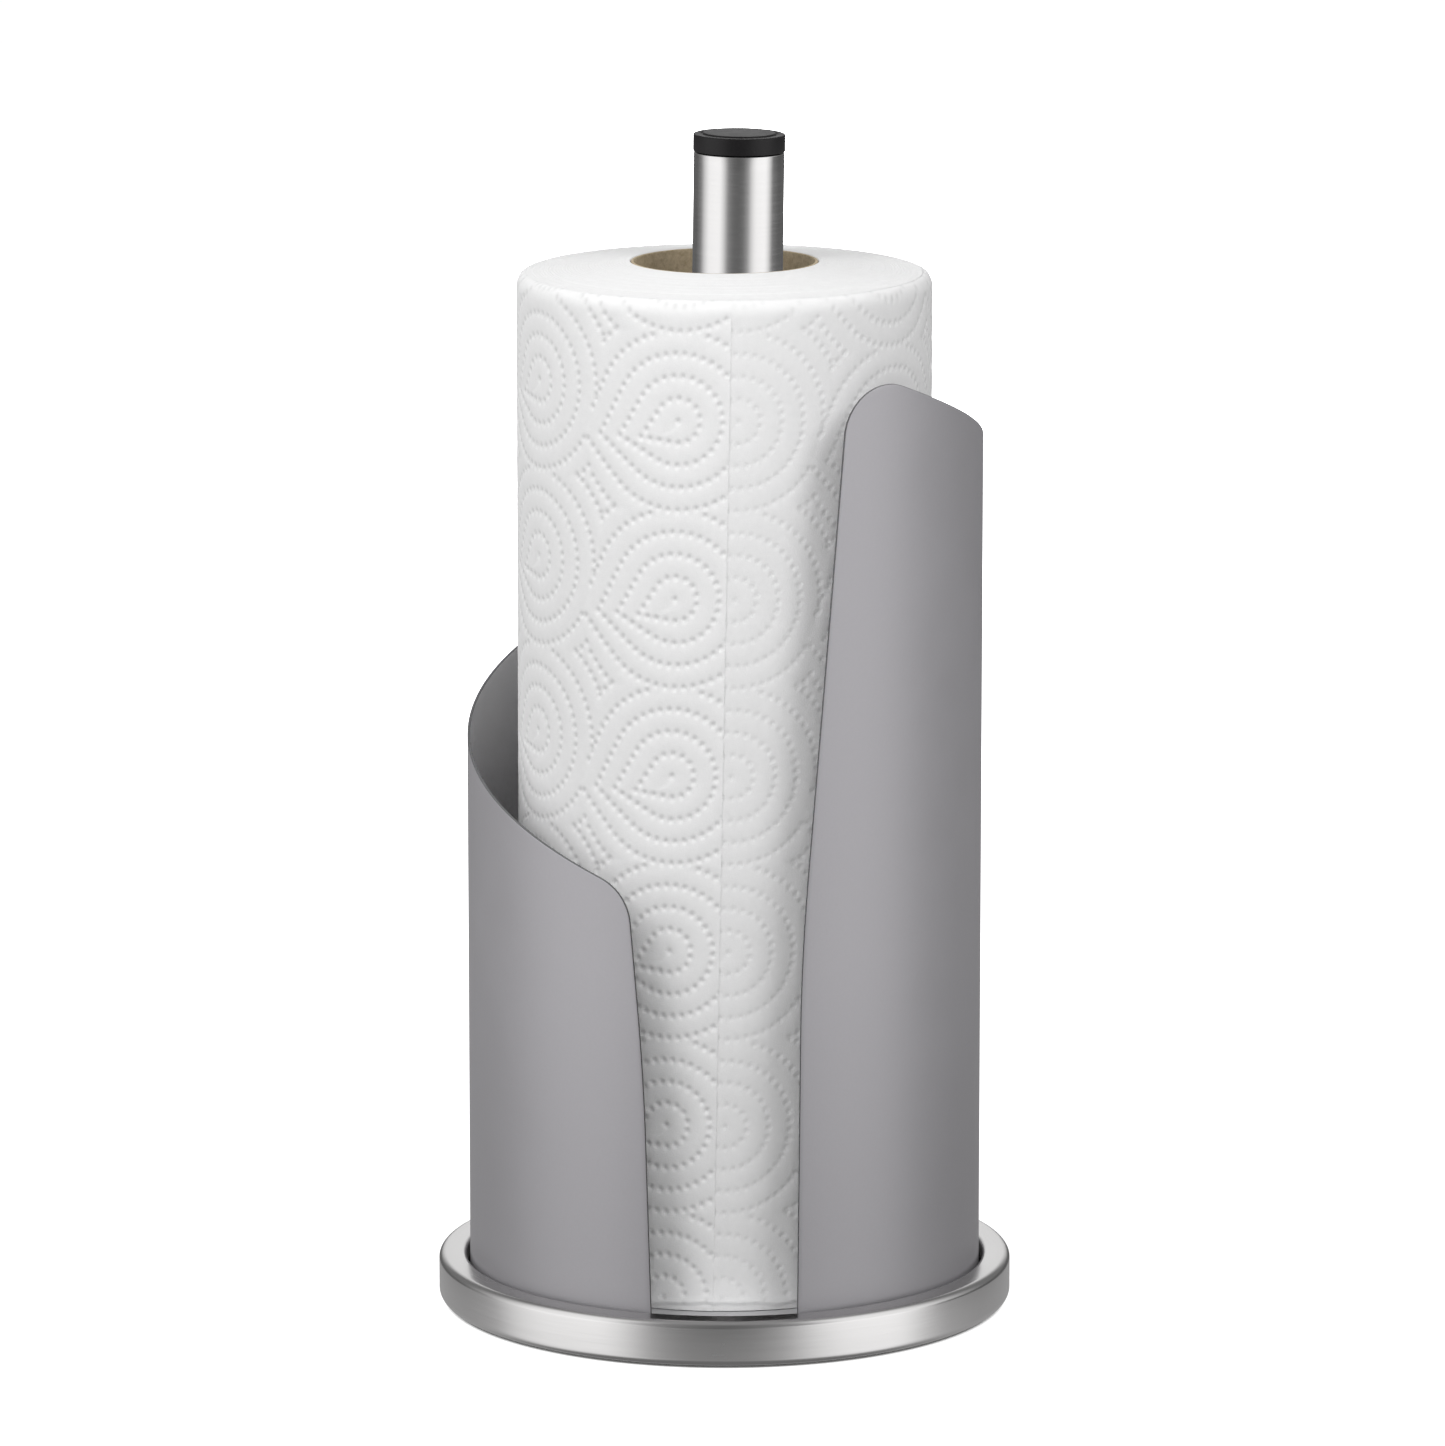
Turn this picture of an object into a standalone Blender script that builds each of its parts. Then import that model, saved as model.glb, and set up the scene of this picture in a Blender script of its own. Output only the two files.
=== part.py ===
"""A free-standing paper towel holder with its roll: a weighted steel base, a rolled sheet sleeve
with a slanted top and a front slot, a steel post with a plastic cap, and the roll round the post.

Metres, +Z up. The origin is under the middle of the base, on the surface it stands on; the slot
faces -Y.
"""

import math

import bmesh
import bpy

MM = 0.001

# Overall sizes
BASE_RADIUS = 80.0 * MM
BASE_HEIGHT = 13.3 * MM  # top of the rim above the table
TOTAL_HEIGHT = 328.2 * MM  # top of the cap above the table
FIT_GAP = 0.3 * MM  # between pieces that touch
SHEET = 0.8 * MM  # wall of the base cover

# Base cover, a pressed shell whose edge is turned in underneath
EDGE_CLEARANCE = 0.6 * MM  # the turned edge above the table
RIM_TOP_FILLET = 2.0 * MM
RIM_BOTTOM_FILLET = 2.4 * MM
RIM_INNER_FILLET = 1.2 * MM
LEAST_FILLET = 0.1 * MM  # on the inside of a bend tighter than the sheet
RECESS_FILLET = 0.8 * MM
RIM_WIDTH = 7.7 * MM  # outer wall to inner wall
RECESS_FLOOR = 7.2 * MM  # top of the recessed floor above the table
TURNED_LIP = 4.0 * MM  # how far the edge is turned in from the outer wall

# Feet, bottom plate and weight
PAD_RADIUS = 7.0 * MM
PAD_THICKNESS = 1.2 * MM
PAD_COUNT = 4
PAD_EDGE = 12.8 * MM  # pad centre in from the bottom plate's edge
PLATE_THICKNESS = 1.0 * MM
PLATE_SCREW_EDGE = 28.8 * MM  # plate screw in from the bottom plate's edge
WEIGHT_CENTRE_HOLE = 12.0 * MM
TOOL_HOLE = 8.0 * MM  # hole of the bottom plate over the post bolt

# Fasteners, as thread radius, head radius and head height
SCREW_COUNT = 3
PLATE_SCREW = (1.5 * MM, 2.8 * MM, 1.0 * MM)
SLEEVE_SCREW = (2.0 * MM, 3.6 * MM, 1.5 * MM)
POST_BOLT = (3.0 * MM, 5.6 * MM, 2.0 * MM)
THREAD_CLEARANCE = 0.4 * MM
THREAD_CHAMFER = 0.25  # share of the thread radius
HEAD_CHAMFER = (0.12, 0.3)  # shares of the head radius and the head height
DRIVE_SHARE = 0.5  # hex socket radius, as a share of the head radius
DRIVE_DEPTH = 0.6  # hex socket depth, as a share of the head height
PLATE_SCREW_BITE = 0.8  # share of the weight's thickness that a plate screw enters
BOLT_TIP_GAP = 2.0 * MM  # bolt tip to the blind end of its hole
CUT_REACH = 6.0 * MM  # how far a hole's cutter runs past the face it starts from
WASHER_RADIUS = 9.0 * MM
WASHER_THICKNESS = 1.0 * MM
SPRING_WASHER_WIDTH = 2.2 * MM
SPRING_WASHER_THICKNESS = 1.0 * MM
SPRING_WASHER_SPLIT = 1.0 * MM

# Sleeve, a flat blank rolled to a cylinder that stays open along the slot
SLEEVE_PLAY = 1.0 * MM  # between the rim and the sleeve
SLEEVE_SHEET = 0.8 * MM
SLOT_WIDTH = 40.4 * MM  # at the foot, measured round the sheet
LOW_CORNER_HEIGHT = 130.0 * MM  # square corners of the slanted top edge, above the table
PEAK_HEIGHT = 272.7 * MM
CORNER_RADIUS = 14.0 * MM
LOW_SIDE_LEAN = (1.8, 5.1)  # slot edge in degrees from upright, below and above its bend
PEAK_SIDE_LEAN = (0.55, 4.95)
LOW_SIDE_BEND = 79.0 * MM  # height of each bend above the table
PEAK_SIDE_BEND = 112.0 * MM
BEND_RADIUS = 620.0 * MM
ROLL_STRIPS = 72  # facets round the whole cylinder
TAB_WIDTH = 16.0 * MM
TAB_LENGTH = 15.0 * MM  # inward from the sleeve's outside
TAB_HOLE_INSET = 5.0 * MM  # tab screw from the tab's inner end
TAB_BACK_ANGLE = 180.0  # the first tab is at the back
TAB_STEP = 120.0

# Floor disc under the roll
FLOOR_DISC_TOP = 10.0 * MM
FLOOR_DISC_PLAY = 0.5 * MM  # to the sleeve's inside
FLOOR_DISC_CHAMFER = 0.6 * MM
POCKET_PLAY = 0.5 * MM

# Post: a tube on a turned foot, with a plastic cap. It stands slightly out of plumb.
POST_LEAN = 0.7  # degrees towards +X
TUBE_RADIUS = 12.45 * MM
TUBE_WALL = 0.8 * MM
FOOT_FLANGE = 2.0 * MM
FOOT_PLUG_LENGTH = 16.0 * MM
FOOT_BORE_LENGTH = 14.0 * MM
FOOT_BEVEL = 1.0 * MM
CAP_OVERHANG = 0.2 * MM
CAP_SIDE = 4.7 * MM
CAP_EDGE_FILLET = 0.4 * MM
CAP_DISC_INSET = 2.6 * MM  # flat ring round the raised disc on the cap
CAP_DISC_RISE = 0.35 * MM
CAP_SKIRT_LENGTH = 12.0 * MM
CAP_SKIRT_WALL = 1.5 * MM

# Roll
ROLL_LENGTH = 279.4 * MM  # at the outermost sheet
ROLL_CROWN = 3.0 * MM  # the wound sheets climb this much towards the core at the top
ROLL_EDGE = 1.5 * MM  # rounding of the top edge, as a chamfer
ROLL_GAP = 13.2 * MM  # from a full roll to the sleeve's inside
CORE_RADIUS = 25.6 * MM
CORE_WALL = 0.7 * MM

# Heights that follow from the sizes above
COVER_UNDERSIDE = RECESS_FLOOR - SHEET
PLATE_BOTTOM = PAD_THICKNESS + FIT_GAP
PLATE_TOP = PLATE_BOTTOM + PLATE_THICKNESS
WEIGHT_BOTTOM = PLATE_TOP + FIT_GAP
WEIGHT_TOP = COVER_UNDERSIDE - FIT_GAP
SLEEVE_FOOT = RECESS_FLOOR + FIT_GAP
POST_FOOT = FLOOR_DISC_TOP + FIT_GAP
RECESS_RADIUS = BASE_RADIUS - RIM_WIDTH
SLEEVE_RADIUS = RECESS_RADIUS - SLEEVE_PLAY
SLEEVE_INSIDE = SLEEVE_RADIUS - SLEEVE_SHEET
LIP_RADIUS = BASE_RADIUS - TURNED_LIP
PLATE_RADIUS = LIP_RADIUS - 2 * FIT_GAP
PAD_CIRCLE = PLATE_RADIUS - PAD_EDGE
PLATE_SCREW_CIRCLE = PLATE_RADIUS - PLATE_SCREW_EDGE
ROLL_RADIUS = SLEEVE_INSIDE - ROLL_GAP
TAB_SCREW_CIRCLE = SLEEVE_RADIUS - TAB_LENGTH + TAB_HOLE_INSET
TUBE_BORE = TUBE_RADIUS - TUBE_WALL
CAP_TOP = TOTAL_HEIGHT - POST_FOOT  # heights above the post's foot, along the post
CAP_UNDERSIDE = CAP_TOP - CAP_DISC_RISE - CAP_SIDE
TUBE_BOTTOM = FOOT_FLANGE + FIT_GAP
BOLT_HOLE = POST_BOLT[0] + THREAD_CLEARANCE

# Steps round turned pieces
LARGE_STEPS = 64
MEDIUM_STEPS = 40
PAD_STEPS = 24
SMALL_STEPS = 16


def start():
    for obj in list(bpy.data.objects):
        bpy.data.objects.remove(obj, do_unlink=True)
    bpy.context.scene.unit_settings.scale_length = 1.0
    collections = []
    for name in ("paper_towel_holder", "cutters"):
        collection = bpy.data.collections.new(name)
        bpy.context.scene.collection.children.link(collection)
        collections.append(collection)
    return collections


PARTS, CUTTERS = start()


def material(name, colour, metallic, roughness):
    made = bpy.data.materials.new(name)
    made.use_nodes = True
    shader = made.node_tree.nodes["Principled BSDF"]
    shader.inputs["Base Color"].default_value = (*colour, 1.0)
    shader.inputs["Metallic"].default_value = metallic
    shader.inputs["Roughness"].default_value = roughness
    return made


BRUSHED_STEEL = material("brushed_steel", (0.60, 0.60, 0.60), 1.0, 0.32)
GREY_COATING = material("grey_coating", (0.36, 0.36, 0.38), 0.0, 0.45)
BLACK_PLASTIC = material("black_plastic", (0.04, 0.04, 0.04), 0.0, 0.40)
GREY_PLASTIC = material("grey_plastic", (0.42, 0.42, 0.44), 0.0, 0.50)
ZINC_STEEL = material("zinc_steel", (0.55, 0.56, 0.58), 1.0, 0.40)
CAST_STEEL = material("cast_steel", (0.18, 0.18, 0.19), 0.8, 0.60)
BLACK_FOAM = material("black_foam", (0.03, 0.03, 0.03), 0.0, 0.90)
CARDBOARD = material("cardboard", (0.36, 0.27, 0.16), 0.0, 0.90)
PAPER = material("paper", (0.88, 0.88, 0.88), 0.0, 0.90)


def place(obj, finish, location=(0.0, 0.0, 0.0), turn=0.0, parent=None):
    """Puts an object in its place: turn is in degrees about Z."""
    PARTS.objects.link(obj)
    obj.location = location
    obj.rotation_euler = (0.0, 0.0, math.radians(turn))
    obj.parent = parent
    obj.data.materials.append(finish)
    return obj


def as_cutter(obj, location=(0.0, 0.0, 0.0), turn=0.0, parent=None):
    CUTTERS.objects.link(obj)
    obj.location = location
    obj.rotation_euler = (0.0, 0.0, math.radians(turn))
    obj.parent = parent
    obj.hide_render = True
    obj.display_type = "WIRE"
    return obj


def cut(obj, cutter, operation="DIFFERENCE"):
    boolean = obj.modifiers.new(cutter.name, "BOOLEAN")
    boolean.operation = operation
    boolean.object = cutter


def smooth(mesh):
    mesh.shade_smooth()
    mesh.set_sharp_from_angle(angle=math.radians(30.0))


def arc(centre, radius, start_angle, end_angle, steps=2):
    """Points (r, z) of an arc, with angles in degrees from the outward direction."""
    return [
        (
            centre[0] + radius * math.cos(math.radians(angle)),
            centre[1] + radius * math.sin(math.radians(angle)),
        )
        for angle in (start_angle + (end_angle - start_angle) * i / steps for i in range(steps + 1))
    ]


def turned(name, profile, steps, ring=False):
    """A turned solid. The profile (r, z) runs down the outer side; a ring's profile closes on itself."""
    mesh = bpy.data.meshes.new(name)
    count = len(profile)
    edges = [(i, i + 1) for i in range(count - 1)]
    if ring:
        edges.append((count - 1, 0))
    mesh.from_pydata([(r, 0.0, z) for r, z in profile], edges, [])
    obj = bpy.data.objects.new(name, mesh)
    screw = obj.modifiers.new("turn", "SCREW")
    screw.steps = steps
    screw.render_steps = steps
    screw.use_merge_vertices = True
    screw.merge_threshold = 0.00001
    screw.use_smooth_shade = True
    return obj


def disc(name, radius, bottom, top, steps, bore=0.0):
    """A flat disc, or a ring when it has a bore."""
    if bore:
        return turned(name, [(radius, top), (radius, bottom), (bore, bottom), (bore, top)], steps, True)
    return turned(name, [(0.0, top), (radius, top), (radius, bottom), (0.0, bottom)], steps)


def drill(name, radius):
    """A cutter for a plain hole, its middle at the origin."""
    return disc(name, radius, -CUT_REACH, CUT_REACH, SMALL_STEPS)


def prism(name, size):
    """A box of the given size, centred on its origin."""
    mesh = bpy.data.meshes.new(name)
    shape = bmesh.new()
    bmesh.ops.create_cube(shape, size=1.0)
    bmesh.ops.scale(shape, vec=size, verts=shape.verts)
    shape.to_mesh(mesh)
    shape.free()
    return bpy.data.objects.new(name, mesh)


def hexagon(name, radius, depth):
    """A hexagonal socket cutter, its middle at the origin."""
    mesh = bpy.data.meshes.new(name)
    shape = bmesh.new()
    bmesh.ops.create_cone(shape, cap_ends=True, segments=6, radius1=radius, radius2=radius, depth=depth)
    shape.to_mesh(mesh)
    shape.free()
    return bpy.data.objects.new(name, mesh)


def polar(radius, angle, height=0.0):
    """A point at an angle in degrees from the front (-Y) towards +X."""
    turn = math.radians(angle)
    return (radius * math.sin(turn), -radius * math.cos(turn), height)


def spread(count, first):
    return [first + 360.0 * i / count for i in range(count)]


def screw_up(name, sizes, length, finish, location, parent=None):
    """A screw driven from below: its head's underside is at the location, its thread points up."""
    thread, head, height = sizes
    chamfer = thread * THREAD_CHAMFER
    head_inset, head_rise = (share * size for share, size in zip(HEAD_CHAMFER, (head, height)))
    profile = [
        (0.0, length),
        (thread - chamfer, length),
        (thread, length - chamfer),
        (thread, 0.0),
        (head, 0.0),
        (head, head_rise - height),
        (head - head_inset, -height),
        (0.0, -height),
    ]
    obj = turned(name, profile, SMALL_STEPS)
    place(obj, finish, location, parent=parent)
    depth = height * DRIVE_DEPTH
    socket = hexagon(name + "_socket", head * DRIVE_SHARE, 2 * depth)
    below = (location[0], location[1], location[2] - height)
    as_cutter(socket, below, parent=parent)
    cut(obj, socket)


# Base


def base_cover():
    wall = SHEET
    top = BASE_HEIGHT
    rim_in = RECESS_RADIUS
    outer_in = BASE_RADIUS - RIM_BOTTOM_FILLET
    bottom_z = EDGE_CLEARANCE + RIM_BOTTOM_FILLET
    top_z = top - RIM_TOP_FILLET
    inner_r = rim_in + RIM_INNER_FILLET
    inner_z = top - RIM_INNER_FILLET
    floor_r = rim_in - RECESS_FILLET
    floor_z = RECESS_FLOOR + RECESS_FILLET
    # Above and outside: from the centre hole over the rim and down to the turned lip
    skin = [(BOLT_HOLE, RECESS_FLOOR)]
    skin += arc((floor_r, floor_z), RECESS_FILLET, -90, 0)
    skin += arc((inner_r, inner_z), RIM_INNER_FILLET, 180, 90)
    skin += arc((BASE_RADIUS - RIM_TOP_FILLET, top_z), RIM_TOP_FILLET, 90, 0, 3)
    skin += arc((outer_in, bottom_z), RIM_BOTTOM_FILLET, 0, -90, 3)
    skin.append((LIP_RADIUS, EDGE_CLEARANCE))
    # Below and inside: the same path back, one sheet away
    back = [(LIP_RADIUS, EDGE_CLEARANCE + wall)]
    back += arc((outer_in, bottom_z), RIM_BOTTOM_FILLET - wall, -90, 0, 3)
    back += arc((BASE_RADIUS - RIM_TOP_FILLET, top_z), RIM_TOP_FILLET - wall, 0, 90, 3)
    back += arc((inner_r, inner_z), max(RIM_INNER_FILLET - wall, LEAST_FILLET), 90, 180)
    back += arc((floor_r, floor_z), RECESS_FILLET + wall, 0, -90)
    back.append((BOLT_HOLE, COVER_UNDERSIDE))
    cover = turned("base_cover", skin + back, LARGE_STEPS, ring=True)
    place(cover, BRUSHED_STEEL)
    for number, angle in enumerate(tab_angles(), 1):
        hole = drill(f"cover_hole_{number}", SLEEVE_SCREW[0] + THREAD_CLEARANCE)
        as_cutter(hole, polar(TAB_SCREW_CIRCLE, angle, COVER_UNDERSIDE))
        cut(cover, hole)


def base_weight():
    """The ballast disc. Sleeve screws go up through it; plate screws thread into it from below."""
    weight = disc("base_weight", PLATE_RADIUS, WEIGHT_BOTTOM, WEIGHT_TOP, MEDIUM_STEPS, WEIGHT_CENTRE_HOLE)
    place(weight, CAST_STEEL)
    thread, head, height = SLEEVE_SCREW
    pocket_top = height + 2 * FIT_GAP
    for number, angle in enumerate(tab_angles(), 1):
        profile = [
            (0.0, CUT_REACH),
            (thread + THREAD_CLEARANCE, CUT_REACH),
            (thread + THREAD_CLEARANCE, pocket_top),
            (head + THREAD_CLEARANCE, pocket_top),
            (head + THREAD_CLEARANCE, -CUT_REACH),
            (0.0, -CUT_REACH),
        ]
        hole = turned(f"weight_pocket_{number}", profile, SMALL_STEPS)
        as_cutter(hole, polar(TAB_SCREW_CIRCLE, angle, WEIGHT_BOTTOM))
        cut(weight, hole)
    for number, angle in enumerate(spread(SCREW_COUNT, 0.0), 1):
        hole = drill(f"weight_hole_{number}", PLATE_SCREW[0] + FIT_GAP)
        as_cutter(hole, polar(PLATE_SCREW_CIRCLE, angle, WEIGHT_BOTTOM))
        cut(weight, hole)


def bottom_plate():
    plate = disc("bottom_plate", PLATE_RADIUS, PLATE_BOTTOM, PLATE_TOP, MEDIUM_STEPS, TOOL_HOLE)
    place(plate, BLACK_PLASTIC)
    for number, angle in enumerate(spread(SCREW_COUNT, 0.0), 1):
        hole = drill(f"plate_hole_{number}", PLATE_SCREW[0] + THREAD_CLEARANCE)
        as_cutter(hole, polar(PLATE_SCREW_CIRCLE, angle, PLATE_TOP))
        cut(plate, hole)


def underside_fittings():
    """Plate screws and the four anti-slip pads the holder stands on."""
    length = PLATE_THICKNESS + FIT_GAP + (WEIGHT_TOP - WEIGHT_BOTTOM) * PLATE_SCREW_BITE
    for number, angle in enumerate(spread(SCREW_COUNT, 0.0), 1):
        spot = polar(PLATE_SCREW_CIRCLE, angle, PLATE_BOTTOM - FIT_GAP / 2)
        screw_up(f"plate_screw_{number}", PLATE_SCREW, length, ZINC_STEEL, spot)
    for number, angle in enumerate(spread(PAD_COUNT, 180.0 / PAD_COUNT), 1):
        pad = disc(f"anti_slip_pad_{number}", PAD_RADIUS, 0.0, PAD_THICKNESS, PAD_STEPS)
        place(pad, BLACK_FOAM, polar(PAD_CIRCLE, angle))


# Sleeve


def tab_angles():
    return [TAB_BACK_ANGLE - TAB_STEP, TAB_BACK_ANGLE, TAB_BACK_ANGLE + TAB_STEP]


def leaning_edge(foot, side, leans, bend_height, corner_height):
    """The bend and the top corner of a slot edge, which leans away from the slot as it rises."""
    low, high = (math.tan(math.radians(lean)) for lean in leans)
    bend = foot + side * low * bend_height
    corner = bend + side * high * (corner_height - bend_height)
    return (bend, bend_height), (corner, corner_height)


def rounded_corner(before, corner, after, radius):
    """Points of the arc of the given radius that rounds a corner."""
    back = math.atan2(before[1] - corner[1], before[0] - corner[0])
    ahead = math.atan2(after[1] - corner[1], after[0] - corner[0])
    opening = (ahead - back + math.pi) % (2 * math.pi) - math.pi
    reach = radius / math.tan(abs(opening) / 2)
    from_centre = radius / math.sin(abs(opening) / 2)
    middle = back + opening / 2
    centre = (corner[0] + from_centre * math.cos(middle), corner[1] + from_centre * math.sin(middle))
    first = (corner[0] + reach * math.cos(back), corner[1] + reach * math.sin(back))
    start_angle = math.atan2(first[1] - centre[1], first[0] - centre[0])
    sweep = math.copysign(math.pi - abs(opening), -opening)
    steps = max(4, math.ceil(abs(sweep) / math.radians(12.0)))
    return [
        (
            centre[0] + radius * math.cos(start_angle + sweep * i / steps),
            centre[1] + radius * math.sin(start_angle + sweep * i / steps),
        )
        for i in range(steps + 1)
    ]


def blank_outline():
    """The flat blank, as (distance round the sheet from the front, height above the sleeve's foot)."""
    around = 2 * math.pi * SLEEVE_RADIUS
    peak_foot = (SLOT_WIDTH / 2, 0.0)
    low_foot = (around - SLOT_WIDTH / 2, 0.0)
    foot = SLEEVE_FOOT
    peak_bend, peak = leaning_edge(
        peak_foot[0], 1, PEAK_SIDE_LEAN, PEAK_SIDE_BEND - foot, PEAK_HEIGHT - foot
    )
    low_bend, low_corner = leaning_edge(
        low_foot[0], -1, LOW_SIDE_LEAN, LOW_SIDE_BEND - foot, LOW_CORNER_HEIGHT - foot
    )
    outline = [peak_foot, low_foot]
    outline += rounded_corner(low_foot, low_bend, low_corner, BEND_RADIUS)
    outline += rounded_corner(low_bend, low_corner, peak, CORNER_RADIUS)
    outline += rounded_corner(low_corner, peak, peak_bend, CORNER_RADIUS)
    outline += rounded_corner(peak, peak_bend, peak_foot, BEND_RADIUS)
    return outline


def sleeve():
    """The blank is scored into strips, rolled round the axis and given its thickness inwards."""
    mesh = bpy.data.meshes.new("sleeve")
    shape = bmesh.new()
    shape.faces.new([shape.verts.new((along, height, 0.0)) for along, height in blank_outline()])
    around = 2 * math.pi * SLEEVE_RADIUS
    for strip in range(1, ROLL_STRIPS):
        bmesh.ops.bisect_plane(
            shape,
            geom=shape.verts[:] + shape.edges[:] + shape.faces[:],
            plane_co=(around * strip / ROLL_STRIPS, 0.0, 0.0),
            plane_no=(1.0, 0.0, 0.0),
        )
    for vert in shape.verts:
        vert.co = polar(SLEEVE_RADIUS, math.degrees(vert.co.x / SLEEVE_RADIUS), vert.co.y)
    shape.to_mesh(mesh)
    shape.free()
    obj = place(bpy.data.objects.new("sleeve", mesh), GREY_COATING, (0.0, 0.0, SLEEVE_FOOT))
    wall = obj.modifiers.new("sheet", "SOLIDIFY")
    wall.thickness = SLEEVE_SHEET
    wall.offset = -1.0
    wall.use_even_offset = True
    smooth(mesh)
    reach = TAB_LENGTH - SLEEVE_SHEET / 2
    for number, angle in enumerate(tab_angles(), 1):
        tab = prism(f"sleeve_tab_{number}", (TAB_WIDTH, reach, SLEEVE_SHEET))
        middle = SLEEVE_RADIUS - SLEEVE_SHEET / 2 - reach / 2
        as_cutter(tab, polar(middle, angle, SLEEVE_FOOT + SLEEVE_SHEET / 2), angle)
        cut(obj, tab, "UNION")
    for number, angle in enumerate(tab_angles(), 1):
        hole = drill(f"tab_hole_{number}", SLEEVE_SCREW[0] + FIT_GAP)
        as_cutter(hole, polar(TAB_SCREW_CIRCLE, angle, SLEEVE_FOOT))
        cut(obj, hole)


def sleeve_screws():
    head_seat = WEIGHT_BOTTOM + SLEEVE_SCREW[2] + FIT_GAP
    length = SLEEVE_FOOT + SLEEVE_SHEET + FIT_GAP - head_seat
    for number, angle in enumerate(tab_angles(), 1):
        spot = polar(TAB_SCREW_CIRCLE, angle, head_seat)
        screw_up(f"sleeve_screw_{number}", SLEEVE_SCREW, length, ZINC_STEEL, spot)


def floor_disc():
    """The plastic disc the roll stands on, with pockets underneath for the sleeve's tabs."""
    radius = SLEEVE_INSIDE - FLOOR_DISC_PLAY
    bottom = SLEEVE_FOOT
    top = FLOOR_DISC_TOP
    edge = FLOOR_DISC_CHAMFER
    profile = [
        (BOLT_HOLE, top),
        (radius - edge, top),
        (radius, top - edge),
        (radius, bottom),
        (BOLT_HOLE, bottom),
    ]
    obj = turned("floor_disc", profile, LARGE_STEPS, ring=True)
    place(obj, GREY_PLASTIC)
    reach = TAB_LENGTH + POCKET_PLAY
    depth = 2 * (SLEEVE_SHEET + 2 * FIT_GAP)
    for number, angle in enumerate(tab_angles(), 1):
        pocket = prism(f"tab_pocket_{number}", (TAB_WIDTH + 2 * POCKET_PLAY, reach, depth))
        as_cutter(pocket, polar(SLEEVE_RADIUS - reach / 2, angle, bottom), angle)
        cut(obj, pocket)


# Post


def post_axis():
    """The line the post stands on: it leaves the floor disc's middle slightly out of plumb."""
    axis = bpy.data.objects.new("post_axis", None)
    PARTS.objects.link(axis)
    axis.location = (0.0, 0.0, POST_FOOT)
    axis.rotation_euler = (0.0, math.radians(POST_LEAN), 0.0)
    return axis


def post(axis):
    plug = TUBE_BORE - FIT_GAP
    bore = POST_BOLT[0] + FIT_GAP
    plug_top = FOOT_FLANGE + FOOT_PLUG_LENGTH
    bevel = FOOT_BEVEL
    foot = [
        (0.0, plug_top),
        (plug - bevel, plug_top),
        (plug, plug_top - bevel),
        (plug, FOOT_FLANGE),
        (TUBE_RADIUS, FOOT_FLANGE),
        (TUBE_RADIUS, 0.0),
        (bore, 0.0),
        (bore, FOOT_BORE_LENGTH),
        (0.0, FOOT_BORE_LENGTH),
    ]
    place(turned("post_foot", foot, MEDIUM_STEPS), ZINC_STEEL, parent=axis)
    tube_top = CAP_UNDERSIDE - FIT_GAP
    tube = disc("post_tube", TUBE_RADIUS, TUBE_BOTTOM, tube_top, MEDIUM_STEPS, TUBE_BORE)
    place(tube, BRUSHED_STEEL, parent=axis)


def post_cap(axis):
    radius = TUBE_RADIUS + CAP_OVERHANG
    skirt = TUBE_BORE - FIT_GAP
    shoulder = CAP_TOP - CAP_DISC_RISE
    raised = radius - CAP_DISC_INSET
    cap = [(0.0, CAP_TOP)]
    cap += arc((raised - CAP_DISC_RISE, shoulder), CAP_DISC_RISE, 90, 0)
    cap += arc((radius - CAP_EDGE_FILLET, shoulder - CAP_EDGE_FILLET), CAP_EDGE_FILLET, 90, 0)
    cap += [
        (radius, CAP_UNDERSIDE),
        (skirt, CAP_UNDERSIDE),
        (skirt, CAP_UNDERSIDE - CAP_SKIRT_LENGTH),
        (skirt - CAP_SKIRT_WALL, CAP_UNDERSIDE - CAP_SKIRT_LENGTH),
        (skirt - CAP_SKIRT_WALL, CAP_UNDERSIDE),
        (0.0, CAP_UNDERSIDE),
    ]
    place(turned("post_cap", cap, MEDIUM_STEPS), BLACK_PLASTIC, parent=axis)


def post_fasteners(axis):
    """Flat washer, spring washer and bolt that clamp the post to the base from below."""
    washer_top = COVER_UNDERSIDE - FIT_GAP - POST_FOOT
    washer_bottom = washer_top - WASHER_THICKNESS
    washer = disc("flat_washer", WASHER_RADIUS, washer_bottom, washer_top, MEDIUM_STEPS, BOLT_HOLE)
    place(washer, ZINC_STEEL, parent=axis)
    spring_top = washer_bottom - FIT_GAP
    spring_bottom = spring_top - SPRING_WASHER_THICKNESS
    spring_radius = BOLT_HOLE + SPRING_WASHER_WIDTH
    spring = disc("spring_washer", spring_radius, spring_bottom, spring_top, MEDIUM_STEPS, BOLT_HOLE)
    place(spring, ZINC_STEEL, parent=axis)
    split = prism("washer_split", (SPRING_WASHER_SPLIT, 2 * spring_radius, 4 * SPRING_WASHER_THICKNESS))
    as_cutter(split, (0.0, -spring_radius, spring_top), parent=axis)
    cut(spring, split)
    seat = spring_bottom - FIT_GAP
    length = FOOT_BORE_LENGTH - BOLT_TIP_GAP - seat
    screw_up("post_bolt", POST_BOLT, length, ZINC_STEEL, (0.0, 0.0, seat), parent=axis)


# Roll


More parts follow.
